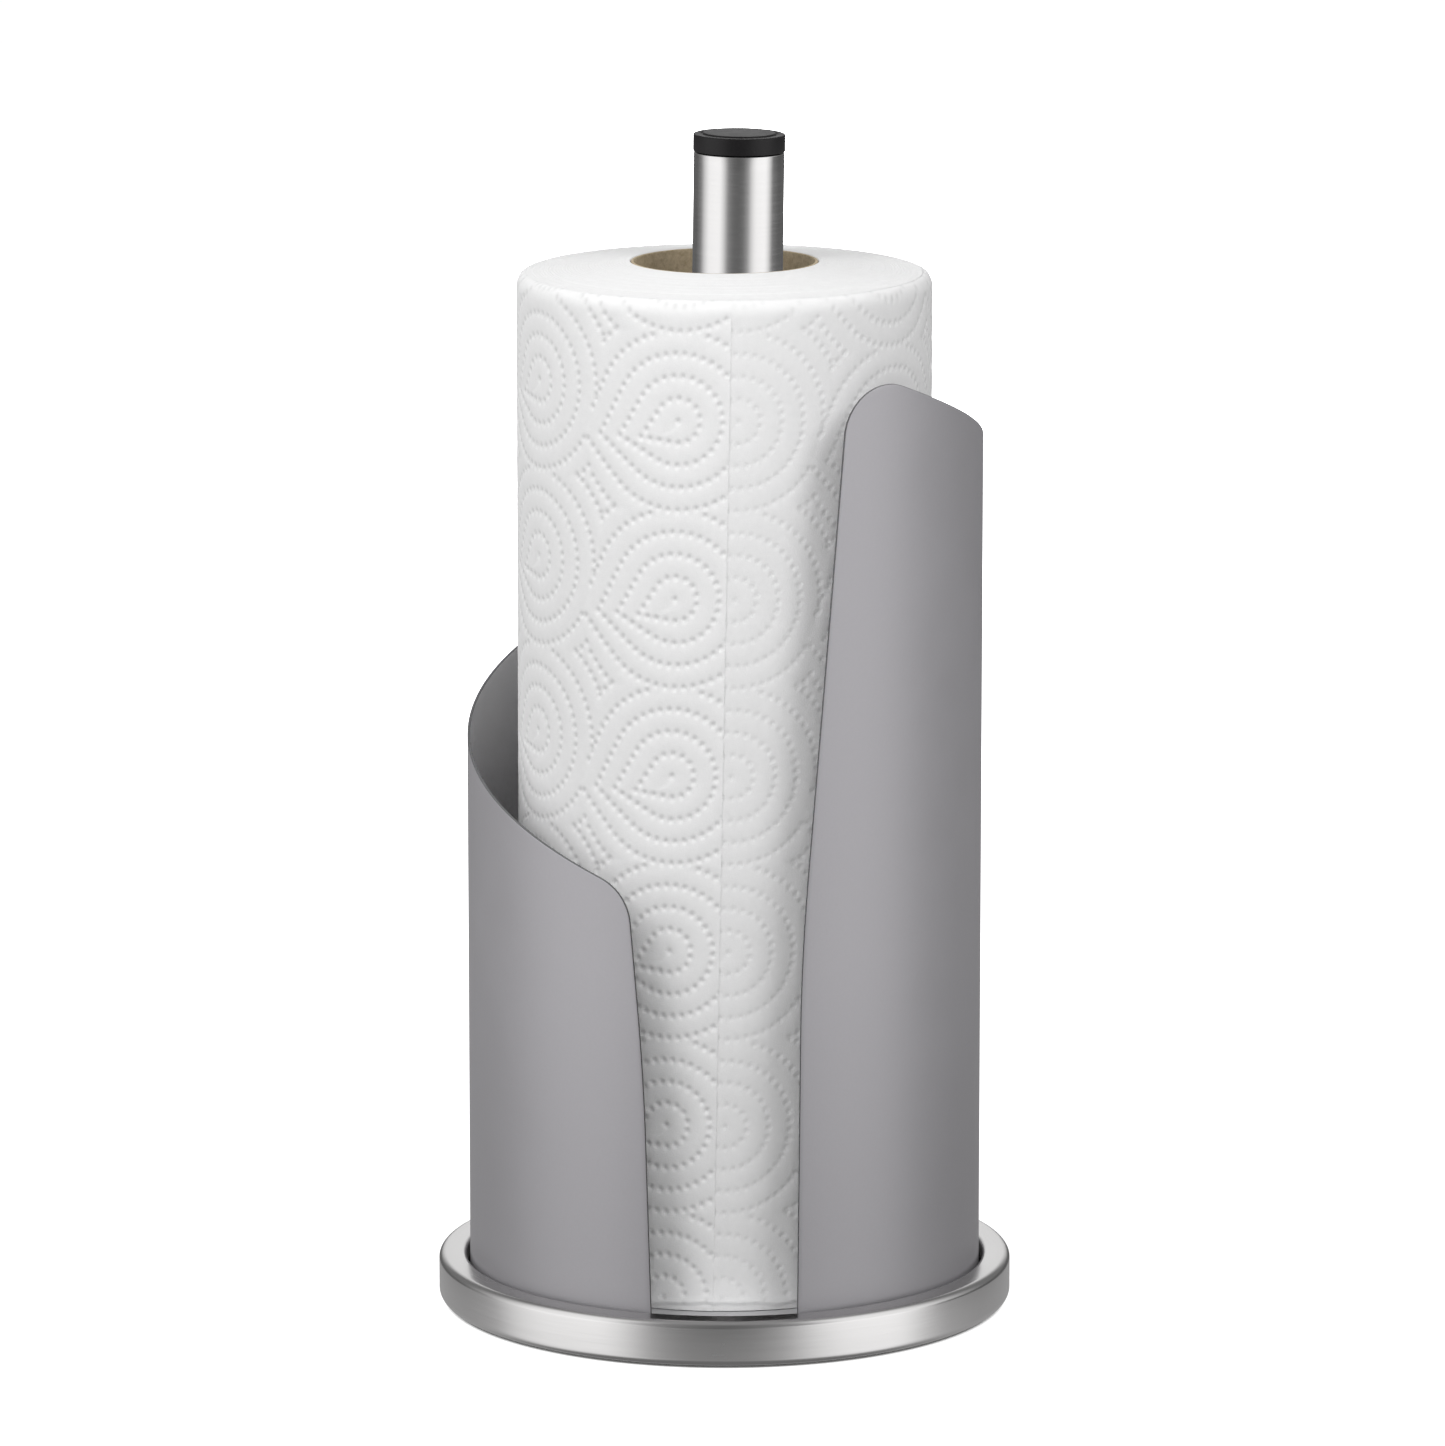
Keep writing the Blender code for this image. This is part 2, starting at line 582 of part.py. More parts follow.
def roll():
    """The cardboard core and the wound paper: they lift off the post, and the paper turns."""
    core_top = ROLL_LENGTH + ROLL_CROWN
    core = disc("roll_core", CORE_RADIUS, 0.0, core_top, MEDIUM_STEPS, CORE_RADIUS - CORE_WALL)
    place(core, CARDBOARD, (0.0, 0.0, POST_FOOT))
    bore = CORE_RADIUS + FIT_GAP
    wound = [
        (bore, core_top),
        (ROLL_RADIUS - ROLL_EDGE, ROLL_LENGTH),
        (ROLL_RADIUS, ROLL_LENGTH - ROLL_EDGE),
        (ROLL_RADIUS, 0.0),
        (bore, 0.0),
    ]
    place(turned("roll_paper", wound, LARGE_STEPS, ring=True), PAPER, (0.0, 0.0, POST_FOOT))


base_cover()
base_weight()
bottom_plate()
underside_fittings()
sleeve()
sleeve_screws()
floor_disc()
AXIS = post_axis()
post(AXIS)
post_cap(AXIS)
post_fasteners(AXIS)
roll()
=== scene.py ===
import math
import bpy
import numpy as np
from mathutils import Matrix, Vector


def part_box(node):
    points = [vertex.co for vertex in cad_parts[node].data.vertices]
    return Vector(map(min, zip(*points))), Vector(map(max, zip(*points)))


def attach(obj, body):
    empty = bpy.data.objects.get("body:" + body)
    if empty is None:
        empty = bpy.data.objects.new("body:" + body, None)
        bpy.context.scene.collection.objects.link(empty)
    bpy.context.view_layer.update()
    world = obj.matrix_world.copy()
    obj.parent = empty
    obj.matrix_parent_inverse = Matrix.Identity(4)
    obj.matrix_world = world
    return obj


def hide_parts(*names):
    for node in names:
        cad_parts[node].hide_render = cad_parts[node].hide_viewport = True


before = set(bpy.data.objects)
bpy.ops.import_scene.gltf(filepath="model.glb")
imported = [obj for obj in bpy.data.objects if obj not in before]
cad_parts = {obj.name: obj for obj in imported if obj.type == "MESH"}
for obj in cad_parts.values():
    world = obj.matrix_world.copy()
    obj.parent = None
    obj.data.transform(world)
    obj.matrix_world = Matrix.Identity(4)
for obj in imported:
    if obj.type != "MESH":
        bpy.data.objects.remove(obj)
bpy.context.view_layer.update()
print("scene: frame loaded")

mm = 0.001
rng = np.random.default_rng(11)


# Meshes from arrays

def quadIndex(rows, cols, ringRows=False, ringCols=False):
    # Corner indices of each cell of a rows by cols grid; a ring direction joins its last line to its first.
    row, col = np.arange(rows - (not ringRows)), np.arange(cols - (not ringCols))
    r, c = np.meshgrid(row, col, indexing="ij")
    rNext, cNext = (r + 1) % rows, (c + 1) % cols
    corners = [r * cols + c, r * cols + cNext, rNext * cols + cNext, rNext * cols + c]
    return np.stack(corners, -1).reshape(-1, 4)


def addMesh(name, points, quads, uv=None, triangles=None):
    # Puts points, quads and triangles into a smooth-shaded mesh object; uv holds one pair for each corner.
    mesh = bpy.data.meshes.new(name)
    if triangles is None:
        triangles = np.zeros((0, 3), int)
    corners = np.concatenate([quads.reshape(-1), triangles.reshape(-1)])
    starts = np.concatenate([np.arange(len(quads)) * 4, len(quads) * 4 + np.arange(len(triangles)) * 3])
    mesh.vertices.add(len(points))
    mesh.vertices.foreach_set("co", points.astype(np.float32).reshape(-1))
    mesh.loops.add(len(corners))
    mesh.loops.foreach_set("vertex_index", corners.astype(np.int32))
    mesh.polygons.add(len(starts))
    mesh.polygons.foreach_set("loop_start", starts.astype(np.int32))
    mesh.polygons.foreach_set("use_smooth", np.ones(len(starts), bool))
    mesh.update(calc_edges=True)
    if uv is not None:
        layer = mesh.uv_layers.new(name="along")
        layer.data.foreach_set("uv", uv.astype(np.float32).reshape(-1))
    mesh.validate()
    piece = bpy.data.objects.new(name, mesh)
    bpy.context.scene.collection.objects.link(piece)
    return piece


def arcPoints(centre, radius, first, last, steps):
    # Points at centre plus radius times (cosine, sine) of evenly spaced angles in degrees.
    angle = np.radians(np.linspace(first, last, steps + 1))
    return np.stack([centre[0] + radius * np.cos(angle), centre[1] + radius * np.sin(angle)], -1)


def refine(profile, spacing):
    # Adds evenly spaced points to the long straight runs of a profile.
    out = []
    for a, b in zip(profile[:-1], profile[1:]):
        steps = max(1, int(np.hypot(*(b - a)) / spacing))
        out.append(a + (b - a) * np.linspace(0, 1, steps, endpoint=False)[:, None])
    return np.concatenate(out + [profile[-1:]])


def poleFans(profile, length, rows, steps, arc):
    # Fans that close an open profile, from its ends on the axis to its first and last circles.
    poles = np.array([[0, 0, profile[0, 1]], [0, 0, profile[-1, 1]]])
    c = np.arange(steps)
    n = (c + 1) % steps
    top = np.stack([np.full(steps, rows * steps), c, n], -1)
    low = np.stack([np.full(steps, rows * steps + 1), (rows - 1) * steps + n, (rows - 1) * steps + c], -1)
    topUv = np.stack([np.stack([c + 0.5, c + 0.0, c + 1.0], -1) * arc,
                      np.tile([length[0], length[1], length[1]], (steps, 1))], -1)
    lowUv = np.stack([np.stack([c + 0.5, c + 1.0, c + 0.0], -1) * arc,
                      np.tile([length[-1], length[-2], length[-2]], (steps, 1))], -1)
    return poles, np.vstack([top, low]), np.vstack([topUv.reshape(-1, 2), lowUv.reshape(-1, 2)])


def turned(name, profile, steps, ring=False, spacing=4 * mm, lean=None):
    # A profile (radius, height) carried round the axis: x = r sin a, y = -r cos a, z = height.
    # The profile runs down the outside. A ring closes on itself; any other ends on the axis at both ends.
    profile = np.asarray(profile, float)
    if ring:
        profile = refine(np.vstack([profile, profile[:1]]), spacing)[:-1]
    else:
        profile = refine(profile, spacing)
    length = np.concatenate([[0], np.cumsum(np.hypot(*np.diff(profile, axis=0).T))])
    angle = np.linspace(0, 2 * np.pi, steps, endpoint=False)
    circles = slice(None) if ring else slice(1, -1)
    radius, height = profile[circles, 0, None], profile[circles, 1, None]
    height = np.broadcast_to(height, (len(height), steps))
    points = np.stack([radius * np.sin(angle), -radius * np.cos(angle), height], -1).reshape(-1, 3)
    quads = quadIndex(len(radius), steps, ring, True)
    row, col = quads // steps, quads % steps
    turn = col.astype(float)
    turn[:, 1:3] = np.where(turn[:, 1:3] == 0, steps, turn[:, 1:3])
    along = length[circles][row]
    if ring:
        along[row[:, 3] == 0, 2:] = length[-1] + np.hypot(*(profile[0] - profile[-1]))
    arc = 2 * np.pi * profile[:, 0].max() / steps
    uv = np.stack([turn * arc, along], -1)[:, ::-1].reshape(-1, 2)
    triangles = None
    if not ring:
        poles, triangles, fanUv = poleFans(profile, length, len(radius), steps, arc)
        points = np.vstack([points, poles])
        uv = np.vstack([uv, fanUv])
    if lean is not None:
        points = leaned(points, *lean)
    return addMesh(name, points, quads[:, ::-1], uv, triangles)


def leaned(points, foot, angle):
    # Turns points about the foot so that the upright tips by the angle towards +X.
    local = points - foot
    x = local[:, 0] * math.cos(angle) + local[:, 2] * math.sin(angle)
    z = -local[:, 0] * math.sin(angle) + local[:, 2] * math.cos(angle)
    return np.stack([x, local[:, 1], z], -1) + foot


def boxMesh(name, low, high, bevel, turn):
    # A block between two corners with softened edges, turned about the upright axis.
    low, high = np.array(low), np.array(high)
    sign = np.array([[i, j, k] for k in (0, 1) for j in (0, 1) for i in (0, 1)])
    points = low + (high - low) * sign
    cosine, sine = math.cos(turn), math.sin(turn)
    points = points @ np.array([[cosine, sine, 0], [-sine, cosine, 0], [0, 0, 1]])
    quads = np.array([[0, 2, 3, 1], [4, 5, 7, 6], [0, 1, 5, 4], [2, 6, 7, 3], [0, 4, 6, 2], [1, 3, 7, 5]])
    piece = addMesh(name, points, quads)
    soften = piece.modifiers.new("soft edges", "BEVEL")
    soften.width = bevel
    soften.segments = 2
    return piece


# Node groups shared by the materials

def makeGroup(name, inputs, outputs):
    # An empty group with its named inputs and outputs.
    tree = bpy.data.node_groups.new(name, "ShaderNodeTree")
    for label, kind, default in inputs:
        socket = tree.interface.new_socket(label, in_out="INPUT", socket_type=kind)
        if default is not None:
            socket.default_value = default
    for label, kind in outputs:
        tree.interface.new_socket(label, in_out="OUTPUT", socket_type=kind)
    return tree, tree.nodes.new("NodeGroupInput"), tree.nodes.new("NodeGroupOutput")


def wire(tree, source, target):
    # Joins an output socket to an input socket.
    tree.links.new(source, target)


def mathNode(tree, operation, a, b=None, c=None):
    # One step of arithmetic on numbers or sockets.
    node = tree.nodes.new("ShaderNodeMath")
    node.operation = operation
    for index, value in enumerate((a, b, c)):
        if value is None:
            continue
        if isinstance(value, (int, float)):
            node.inputs[index].default_value = value
        else:
            wire(tree, value, node.inputs[index])
    return node.outputs[0]


def noiseNode(tree, vector, scale, detail=2.0, roughness=0.5):
    # Noise read at a vector; most of it lies between 0.3 and 0.7.
    node = tree.nodes.new("ShaderNodeTexNoise")
    wire(tree, vector, node.inputs["Vector"])
    if isinstance(scale, (int, float)):
        node.inputs["Scale"].default_value = scale
    else:
        wire(tree, scale, node.inputs["Scale"])
    node.inputs["Detail"].default_value = detail
    node.inputs["Roughness"].default_value = roughness
    return node.outputs["Fac"]


def mixColour(tree, factor, a, b):
    # Blends two colours, each a triple or a socket.
    node = tree.nodes.new("ShaderNodeMix")
    node.data_type = "RGBA"
    sockets = (node.inputs[0], node.inputs[6], node.inputs[7])
    for socket, value in zip(sockets, (factor, a, b)):
        if isinstance(value, (int, float)):
            socket.default_value = value
        elif isinstance(value, tuple):
            socket.default_value = (*value, 1.0)
        else:
            wire(tree, value, socket)
    return node.outputs[2]


def brushGroup():
    # Brush lines: noise read from a plane stretched along the stroke, so it varies fast across it.
    tree, given, made = makeGroup(
        "brush lines",
        [("Vector", "NodeSocketVector", None), ("Across", "NodeSocketFloat", 900.0),
         ("Stretch", "NodeSocketFloat", 60.0)],
        [("Lines", "NodeSocketFloat"), ("Height", "NodeSocketFloat"), ("Patches", "NodeSocketFloat")])
    split = tree.nodes.new("ShaderNodeSeparateXYZ")
    wire(tree, given.outputs["Vector"], split.inputs[0])
    join = tree.nodes.new("ShaderNodeCombineXYZ")
    wire(tree, mathNode(tree, "DIVIDE", split.outputs[0], given.outputs["Stretch"]), join.inputs[0])
    wire(tree, split.outputs[1], join.inputs[1])
    fine = noiseNode(tree, join.outputs[0], given.outputs["Across"], 3.0, 0.6)
    broad = noiseNode(tree, join.outputs[0], mathNode(tree, "MULTIPLY", given.outputs["Across"], 0.22), 2.0)
    patches = noiseNode(tree, given.outputs["Vector"], 35.0, 2.0)
    lines = mathNode(tree, "MULTIPLY_ADD", fine, 0.65, mathNode(tree, "MULTIPLY", broad, 0.35))
    wire(tree, lines, made.inputs["Lines"])
    wire(tree, fine, made.inputs["Height"])
    wire(tree, patches, made.inputs["Patches"])
    return tree


def grainGroup():
    # Fine all-over grain with a slow mottle behind it, for coatings, mouldings and paper.
    tree, given, made = makeGroup(
        "surface grain",
        [("Vector", "NodeSocketVector", None), ("Grain Scale", "NodeSocketFloat", 2500.0),
         ("Mottle Scale", "NodeSocketFloat", 60.0)],
        [("Grain", "NodeSocketFloat"), ("Mottle", "NodeSocketFloat")])
    vector = given.outputs["Vector"]
    wire(tree, noiseNode(tree, vector, given.outputs["Grain Scale"], 2.0, 0.55), made.inputs["Grain"])
    wire(tree, noiseNode(tree, vector, given.outputs["Mottle Scale"], 3.0), made.inputs["Mottle"])
    return tree


brushTree = brushGroup()
grainTree = grainGroup()


def newMaterial(name, metallic, roughness):
    # A new material with its node tree and Principled shader.
    material = bpy.data.materials.new(name)
    material.use_nodes = True
    tree = material.node_tree
    shader = tree.nodes["Principled BSDF"]
    shader.inputs["Metallic"].default_value = metallic
    shader.inputs["Roughness"].default_value = roughness
    return material, tree, shader


def spread(tree, value, low, high):
    # Carries a noise value's middle range to the range from low to high.
    node = tree.nodes.new("ShaderNodeMapRange")
    wire(tree, value, node.inputs["Value"])
    node.inputs["From Min"].default_value = 0.3
    node.inputs["From Max"].default_value = 0.7
    node.inputs["To Min"].default_value = low
    node.inputs["To Max"].default_value = high
    return node.outputs["Result"]


def coordinate(tree, kind):
    # The piece's own map, laid along its surface, or a place in its object.
    if kind == "UV":
        node = tree.nodes.new("ShaderNodeUVMap")
        node.uv_map = "along"
        return node.outputs["UV"]
    return tree.nodes.new("ShaderNodeTexCoord").outputs[kind]


def bump(tree, shader, height, distance, strength=1.0):
    # Fine relief that tilts the shader's normal.
    node = tree.nodes.new("ShaderNodeBump")
    node.inputs["Distance"].default_value = distance
    node.inputs["Strength"].default_value = strength
    wire(tree, height, node.inputs["Height"])
    wire(tree, node.outputs["Normal"], shader.inputs["Normal"])


def brushedSteel(name, setting):
    # Brushed steel: colour and roughness follow the brush lines, which are also a shallow relief.
    material, tree, shader = newMaterial(name, 1.0, setting["roughness"])
    shader.inputs["Anisotropic"].default_value = setting["anisotropy"]
    shader.inputs["Anisotropic Rotation"].default_value = 0.25
    lines = tree.nodes.new("ShaderNodeGroup")
    lines.node_tree = brushTree
    wire(tree, coordinate(tree, "UV"), lines.inputs["Vector"])
    lines.inputs["Across"].default_value = setting["across"]
    lines.inputs["Stretch"].default_value = setting["stretch"]
    dark, light = setting["colours"]
    tone = spread(tree, lines.outputs["Lines"], 0.0, 1.0)
    wire(tree, mixColour(tree, tone, dark, light), shader.inputs["Base Color"])
    drift, stroke = setting["roughnessDrift"], setting["strokeDrift"]
    low, high = setting["roughness"] - drift, setting["roughness"] + drift
    patches = spread(tree, lines.outputs["Patches"], low, high)
    rough = mathNode(tree, "ADD", spread(tree, lines.outputs["Lines"], -stroke, stroke), patches)
    wire(tree, rough, shader.inputs["Roughness"])
    bump(tree, shader, lines.outputs["Height"], setting["depth"])
    return material


def grained(name, setting):
    # A coating, moulding or fibre finish: mottled colour, grainy relief, slightly uneven gloss, and, where
    # the setting asks, painted shade towards the foot and in the dimples.
    material, tree, shader = newMaterial(name, setting.get("metallic", 0.0), setting["roughness"])
    if "specular" in setting:
        shader.inputs["Specular IOR Level"].default_value = setting["specular"]
    grain = tree.nodes.new("ShaderNodeGroup")
    grain.node_tree = grainTree
    wire(tree, coordinate(tree, "Object"), grain.inputs["Vector"])
    grain.inputs["Grain Scale"].default_value = setting["grain"]
    grain.inputs["Mottle Scale"].default_value = setting["mottle"]
    dark, light = setting["colours"]
    mottled = spread(tree, grain.outputs["Mottle"], 0.0, 0.6)
    tone = mathNode(tree, "ADD", mottled, spread(tree, grain.outputs["Grain"], 0.0, 0.4))
    colour = mixColour(tree, tone, dark, light)
    if "foot" in setting:
        # painted shade: the tone falls off towards the foot of the piece, where less light falls
        foot = setting["foot"]
        split = tree.nodes.new("ShaderNodeSeparateXYZ")
        wire(tree, coordinate(tree, "Object"), split.inputs[0])
        climb = tree.nodes.new("ShaderNodeMapRange")
        wire(tree, split.outputs[2], climb.inputs["Value"])
        climb.inputs["From Min"].default_value = foot["low"]
        climb.inputs["From Max"].default_value = foot["high"]
        climb.inputs["To Min"].default_value = 1.0 - foot["tone"]
        climb.inputs["To Max"].default_value = 0.0
        colour = mixColour(tree, climb.outputs[0], colour, (0.0, 0.0, 0.0))
    if "shade" in setting:
        # painted shade: the bottoms of the dimples are a little darker, as shade gathers in them
        dimpleShade = tree.nodes.new("ShaderNodeAttribute")
        dimpleShade.attribute_name = "dimpleShade"
        amount = mathNode(tree, "MULTIPLY", dimpleShade.outputs["Fac"], setting["shade"])
        colour = mixColour(tree, amount, colour, (0.0, 0.0, 0.0))
    wire(tree, colour, shader.inputs["Base Color"])
    low, high = setting["roughness"] - 0.03, setting["roughness"] + 0.03
    wire(tree, spread(tree, grain.outputs["Mottle"], low, high), shader.inputs["Roughness"])
    bump(tree, shader, grain.outputs["Grain"], setting["depth"])
    return material


steelSetting = {"colours": ((0.605, 0.597, 0.595), (0.655, 0.647, 0.645)), "roughness": 0.24,
                "anisotropy": 0.3, "across": 3200.0, "stretch": 70.0, "depth": 0.002 * mm,
                "roughnessDrift": 0.015, "strokeDrift": 0.04}
tubeSetting = dict(steelSetting, across=2600.0, roughness=0.2)
coatSetting = {"colours": ((0.430, 0.420, 0.441), (0.456, 0.446, 0.469)), "roughness": 0.40, "grain": 1400.0,
               "mottle": 40.0, "depth": 0.02 * mm, "metallic": 0.27,
               # the foot entry paints shade: the coat darkens towards its foot
               "foot": {"low": 20 * mm, "high": 110 * mm, "tone": 0.90}}
blackSetting = {"colours": ((0.004, 0.0035, 0.004), (0.008, 0.007, 0.008)), "roughness": 0.45,
                "grain": 3000.0, "mottle": 300.0, "depth": 0.02 * mm, "specular": 0.3}
floorSetting = {"colours": ((0.55, 0.55, 0.56), (0.60, 0.60, 0.61)), "roughness": 0.5, "grain": 2500.0,
                "mottle": 100.0, "depth": 0.02 * mm}
zincSetting = {"colours": ((0.5, 0.51, 0.54), (0.62, 0.63, 0.65)), "roughness": 0.38, "grain": 1800.0,
               "mottle": 400.0, "depth": 0.01 * mm, "metallic": 1.0}
castSetting = {"colours": ((0.12, 0.12, 0.125), (0.24, 0.24, 0.24)), "roughness": 0.6, "grain": 1200.0,
               "mottle": 90.0, "depth": 0.08 * mm, "metallic": 0.8}
foamSetting = {"colours": ((0.018, 0.018, 0.018), (0.045, 0.045, 0.045)), "roughness": 0.9, "grain": 1500.0,
               "mottle": 200.0, "depth": 0.1 * mm}
boardSetting = {"colours": ((0.41, 0.325, 0.20), (0.66, 0.555, 0.40)), "roughness": 0.9, "grain": 1800.0,
                "mottle": 700.0, "depth": 0.05 * mm}
paperSetting = {"colours": ((0.885, 0.885, 0.885), (0.925, 0.925, 0.925)), "roughness": 0.95, "grain": 2600.0,
                "mottle": 500.0, "depth": 0.05 * mm, "specular": 0.1}
# shade darkens the bottoms of the dimples: painted shade
embossedSetting = dict(paperSetting, shade=0.13)
# the sleeve's cut edge, darkened to paint the shadow of the gap along it
shadedEdgeSetting = dict(coatSetting, colours=((0.10, 0.10, 0.105), (0.13, 0.13, 0.135)), metallic=0.0)
# painted light: the sleeve's inner side is the same coat, made lighter
litInsideSetting = dict(coatSetting, colours=((0.61, 0.605, 0.615), (0.65, 0.645, 0.655)))

steelMaterial = brushedSteel("spun brushed steel", steelSetting)
tubeMaterial = brushedSteel("brushed tube steel", tubeSetting)
coatMaterial = grained("grey powder coat", coatSetting)
shadedEdgeMaterial = grained("cut edge with painted shadow", shadedEdgeSetting)
litInsideMaterial = grained("coat inside the sleeve with painted light", litInsideSetting)
blackMaterial = grained("black moulding", blackSetting)
floorMaterial = grained("grey moulding", floorSetting)
zincMaterial = grained("zinc plate", zincSetting)
castMaterial = grained("ballast steel", castSetting)
foamMaterial = grained("foam pad", foamSetting)
boardMaterial = grained("wound cardboard", boardSetting)
paperMaterial = grained("paper edges", paperSetting)
embossedMaterial = grained("embossed paper", embossedSetting)
print("scene: materials made")


def finish(piece, material, body, slot, *nodes):
    # Gives a new piece its material, hangs it on the body it rides on and hides the frame's parts it stands
    # for. The slot is not used.
    piece.data.materials.append(material)
    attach(piece, body)
    if nodes:
        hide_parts(*nodes)
    return piece


# Base cover

coverLow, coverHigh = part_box("base_cover")
discLow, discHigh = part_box("floor_disc")
base = {
    "radius": coverHigh[0], "top": coverHigh[2], "bottom": coverLow[2], "sheet": 0.8 * mm,
    "rimWidth": 7.7 * mm, "topFillet": 2.0 * mm, "bottomFillet": 2.4 * mm, "innerFillet": 1.2 * mm,
    "recessFillet": 0.8 * mm, "lip": 4.0 * mm, "floor": discLow[2] - 0.3 * mm, "hole": 3.4 * mm, "steps": 288,
}


def coverProfile(s):
    # The pressed shell's outline: over the recess, up and round the rim, down the wall, in under it and back.
    rimIn = s["radius"] - s["rimWidth"]
    recess = (rimIn - s["recessFillet"], s["floor"] + s["recessFillet"])
    inner = (rimIn + s["innerFillet"], s["top"] - s["innerFillet"])
    outer = (s["radius"] - s["topFillet"], s["top"] - s["topFillet"])
    foot = (s["radius"] - s["bottomFillet"], s["bottom"] + s["bottomFillet"])
    lip = s["radius"] - s["lip"]
    sheet = s["sheet"]
    return np.vstack([
        [(s["hole"], s["floor"])],
        arcPoints(recess, s["recessFillet"], -90, 0, 6),
        arcPoints(inner, s["innerFillet"], 180, 90, 8),
        arcPoints(outer, s["topFillet"], 90, 0, 12),
        arcPoints(foot, s["bottomFillet"], 0, -90, 12),
        [(lip, s["bottom"]), (lip, s["bottom"] + sheet)],
        arcPoints(foot, s["bottomFillet"] - sheet, -90, 0, 8),
        arcPoints(outer, s["topFillet"] - sheet, 0, 90, 8),
        arcPoints(inner, s["innerFillet"] - sheet, 90, 180, 4),
        arcPoints(recess, s["recessFillet"] + sheet, 0, -90, 8),
        [(s["hole"], s["floor"] - sheet)],
    ])


cover = turned("baseCover", coverProfile(base), base["steps"], ring=True)
finish(cover, steelMaterial, "holder", "brushed_steel", "base_cover")
print("scene: base cover")

# Floor disc

floorDisc = {"radius": discHigh[0], "top": discHigh[2], "bottom": discLow[2], "edge": 0.5 * mm,
             "hole": 3.4 * mm, "recessFrom": 55.5 * mm, "recessTop": 8.9 * mm, "steps": 240}


def floorProfile(s):
    # A flat top with a rounded edge, and a step underneath that clears the sleeve's tabs.
    corner = (s["radius"] - s["edge"], s["top"] - s["edge"])
    return np.vstack([[(s["hole"], s["top"])], arcPoints(corner, s["edge"], 90, 0, 5),
                      [(s["radius"], s["recessTop"]), (s["recessFrom"], s["recessTop"]),
                       (s["recessFrom"], s["bottom"]), (s["hole"], s["bottom"])]])


disc = turned("floorDisc", floorProfile(floorDisc), floorDisc["steps"], ring=True)
finish(disc, floorMaterial, "holder", "grey_plastic", "floor_disc")

# Sleeve
# The leans are degrees off upright, below and above the bend in each edge of the slot
sleeveLow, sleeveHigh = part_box("sleeve")
sleeve = {
    "radius": sleeveHigh[0], "foot": sleeveLow[2], "sheet": 0.8 * mm, "slot": 40.4 * mm,
    "lowCorner": 130.0 * mm, "peak": 272.7 * mm, "corner": 14.0 * mm, "bend": 620.0 * mm,
    "lowLean": (1.8, 5.1), "peakLean": (0.55, 4.95), "lowBend": 79.0 * mm, "peakBend": 112.0 * mm,
    "across": 300, "up": 110, "cornerSteps": 24, "bendSteps": 10, "edge": 0.3 * mm, "edgeAngle": 50,
}


def roundCorner(before, corner, after, radius, steps):
    # The arc of the given radius that touches both lines of a corner, from the first line to the second.
    back = math.atan2(before[1] - corner[1], before[0] - corner[0])
    ahead = math.atan2(after[1] - corner[1], after[0] - corner[0])
    opening = (ahead - back + math.pi) % (2 * math.pi) - math.pi
    reach = radius / math.tan(abs(opening) / 2)
    away = radius / math.sin(abs(opening) / 2)
    middle = back + opening / 2
    centre = (corner[0] + away * math.cos(middle), corner[1] + away * math.sin(middle))
    touch = (corner[0] + reach * math.cos(back), corner[1] + reach * math.sin(back))
    first = math.atan2(touch[1] - centre[1], touch[0] - centre[0])
    sweep = math.copysign(math.pi - abs(opening), -opening)
    return arcPoints(centre, radius, math.degrees(first), math.degrees(first + sweep), steps)


def evenly(path, count):
    # The same path as count points evenly spaced along it.
    length = np.concatenate([[0], np.cumsum(np.hypot(*np.diff(path, axis=0).T))])
    where = np.linspace(0, length[-1], count)
    return np.stack([np.interp(where, length, path[:, 0]), np.interp(where, length, path[:, 1])], -1)


def sleeveBlank(s):
    # The flat blank as a patch between its four sides: foot, slot edge, slanted top and slot edge.
    # Each point blends the two pairs of facing sides and takes away the blend of the four corners.
    around = 2 * math.pi * s["radius"]

    def side(foot, sign, lean, bendAt, cornerAt):
        # one edge of the slot: its foot, its bend and its top corner
        low, high = (math.tan(math.radians(a)) for a in lean)
        bend = (foot + sign * low * (bendAt - s["foot"]), bendAt)
        return (foot, s["foot"]), bend, (bend[0] + sign * high * (cornerAt - bendAt), cornerAt)

    a0, a1, a2 = side(s["slot"] / 2, 1, s["peakLean"], s["peakBend"], s["peak"])
    b0, b1, b2 = side(around - s["slot"] / 2, -1, s["lowLean"], s["lowBend"], s["lowCorner"])
    half = s["cornerSteps"] // 2
    peak = roundCorner(b2, a2, a1, s["corner"], s["cornerSteps"])[::-1]
    low = roundCorner(a2, b2, b1, s["corner"], s["cornerSteps"])
    edgeA = np.vstack([[a0], roundCorner(a0, a1, a2, s["bend"], s["bendSteps"]), peak[:half + 1]])
    edgeB = np.vstack([[b0], roundCorner(b0, b1, b2, s["bend"], s["bendSteps"]), low[half:][::-1]])
    top = np.vstack([peak[half:], low[:half + 1]])
    foot = np.array([a0, b0])
    n, m = s["across"], s["up"]
    edgeA, edgeB = evenly(edgeA, m), evenly(edgeB, m)
    top, foot = evenly(top, n), evenly(foot, n)
    p, q = np.linspace(0, 1, n)[None, :, None], np.linspace(0, 1, m)[:, None, None]
    between = (1 - q) * foot[None] + q * top[None] + (1 - p) * edgeA[:, None] + p * edgeB[:, None]
    footCorners = (1 - p) * (1 - q) * foot[0] + p * (1 - q) * foot[-1]
    return between - footCorners - (1 - p) * q * top[0] - p * q * top[-1]


